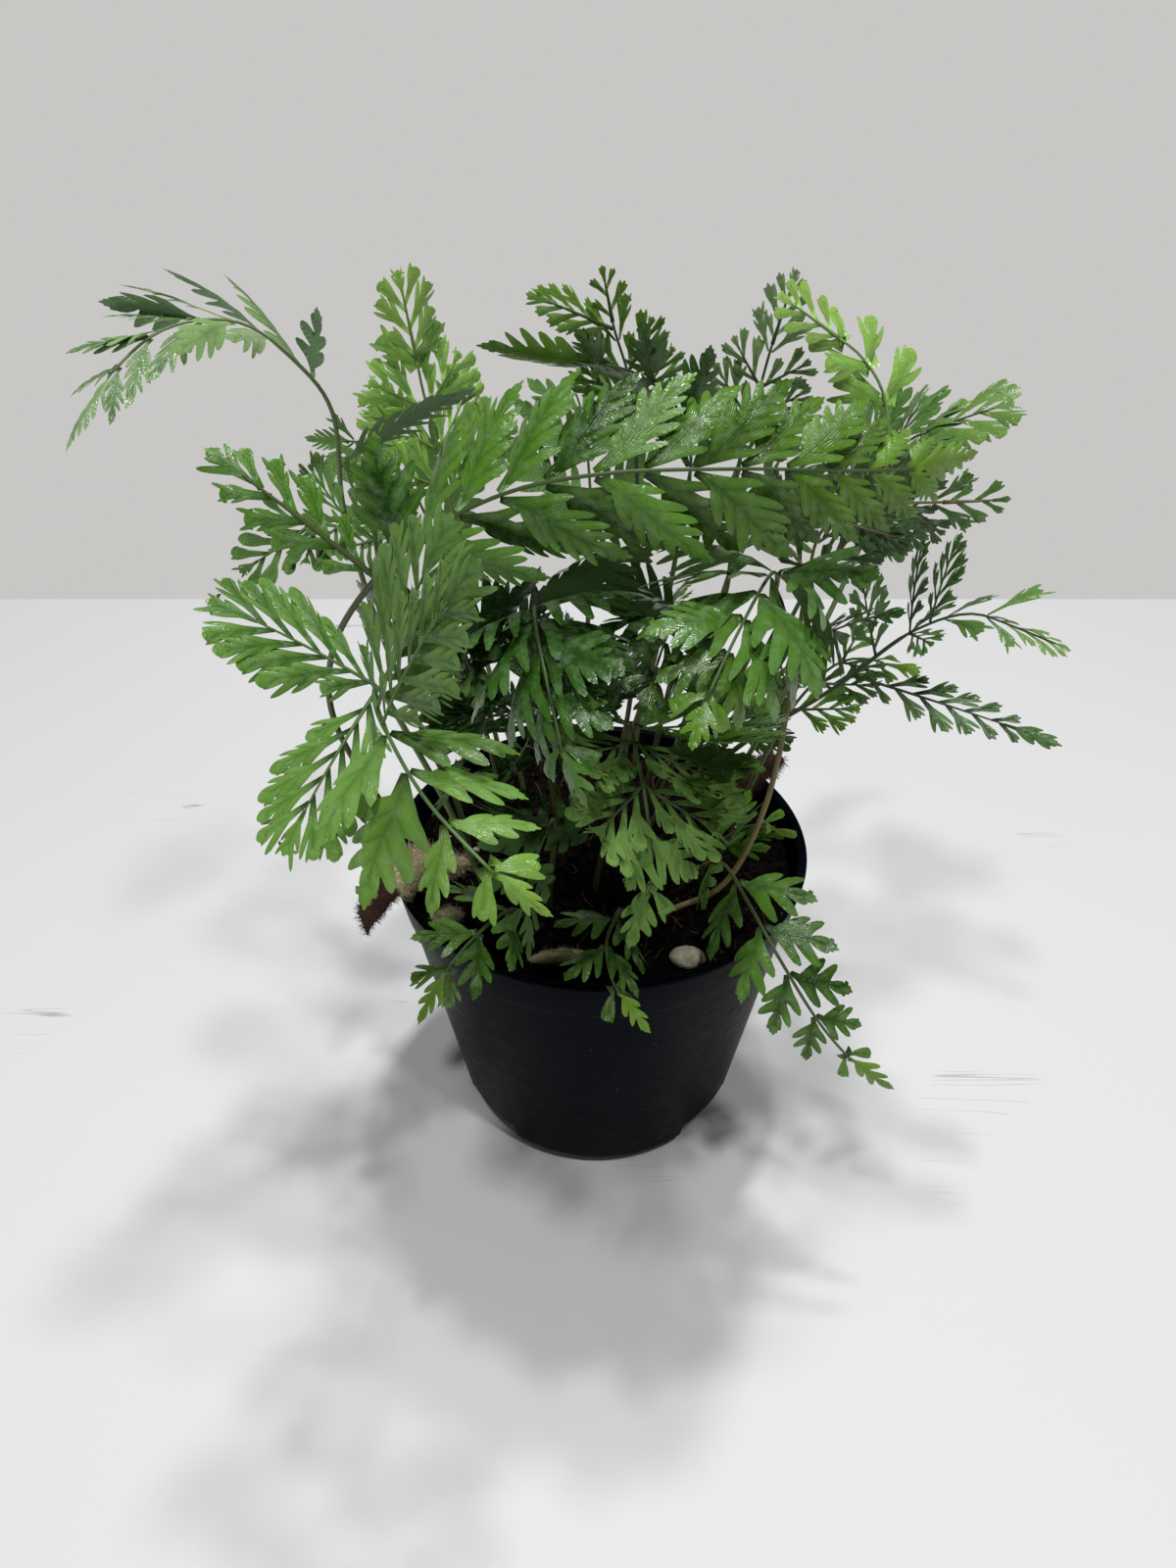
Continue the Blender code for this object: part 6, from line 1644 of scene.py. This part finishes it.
class FERN_OT_fronds(bpy.types.Operator):
    """Build every frond on its solid's stem line"""

    bl_idname = "fern.fronds"
    bl_label = "Fronds"
    bl_options = {"REGISTER", "UNDO"}

    def execute(self, context):
        build_fronds(context.scene.fern_frond)
        return {"FINISHED"}


class FERN_OT_stage(bpy.types.Operator):
    """Set the table, the lights and the camera"""

    bl_idname = "fern.stage"
    bl_label = "Table, light and camera"
    bl_options = {"REGISTER", "UNDO"}

    def execute(self, context):
        build_stage(context.scene.fern_stage)
        return {"FINISHED"}


GROUPS = {"fern_pot": PotSettings, "fern_soil": SoilSettings, "fern_frond": FrondSettings,
          "fern_rhizome": RhizomeSettings, "fern_stage": StageSettings}
STEPS = {"fern.pot": "fern_pot", "fern.soil": "fern_soil", "fern.pebble": None, "fern.rhizomes": "fern_rhizome",
         "fern.fronds": "fern_frond", "fern.stage": "fern_stage"}


class FERN_PT_parts(bpy.types.Panel):
    """Lists the build steps with their sizes and colours"""

    bl_label = "Potted fern"
    bl_idname = "FERN_PT_parts"
    bl_space_type = "VIEW_3D"
    bl_region_type = "UI"
    bl_category = "Fern"

    def draw(self, context):
        """Draws each step's button above its settings."""
        for step, group in STEPS.items():
            box = self.layout.box()
            box.operator(step)
            if group:
                settings = getattr(context.scene, group)
                for name in settings.bl_rna.properties.keys():
                    if name not in ("rna_type", "name"):
                        box.prop(settings, name)


CLASSES = (*GROUPS.values(), FERN_OT_pot, FERN_OT_soil, FERN_OT_pebble, FERN_OT_rhizomes, FERN_OT_fronds,
           FERN_OT_stage, FERN_PT_parts)


def register():
    """Registers the classes and gives the scene their settings."""
    for made in CLASSES:
        bpy.utils.register_class(made)
    for name, group in GROUPS.items():
        setattr(bpy.types.Scene, name, PointerProperty(type=group))


def unregister():
    """Takes the settings and the classes back."""
    for name in GROUPS:
        delattr(bpy.types.Scene, name)
    for made in reversed(CLASSES):
        bpy.utils.unregister_class(made)


def main():
    register()
    bpy.ops.fern.stage()
    bpy.ops.fern.pot()
    bpy.ops.fern.soil()
    bpy.ops.fern.pebble()
    bpy.ops.fern.rhizomes()
    bpy.ops.fern.fronds()
    bpy.context.view_layer.update()


if __name__ == "__main__":
    main()
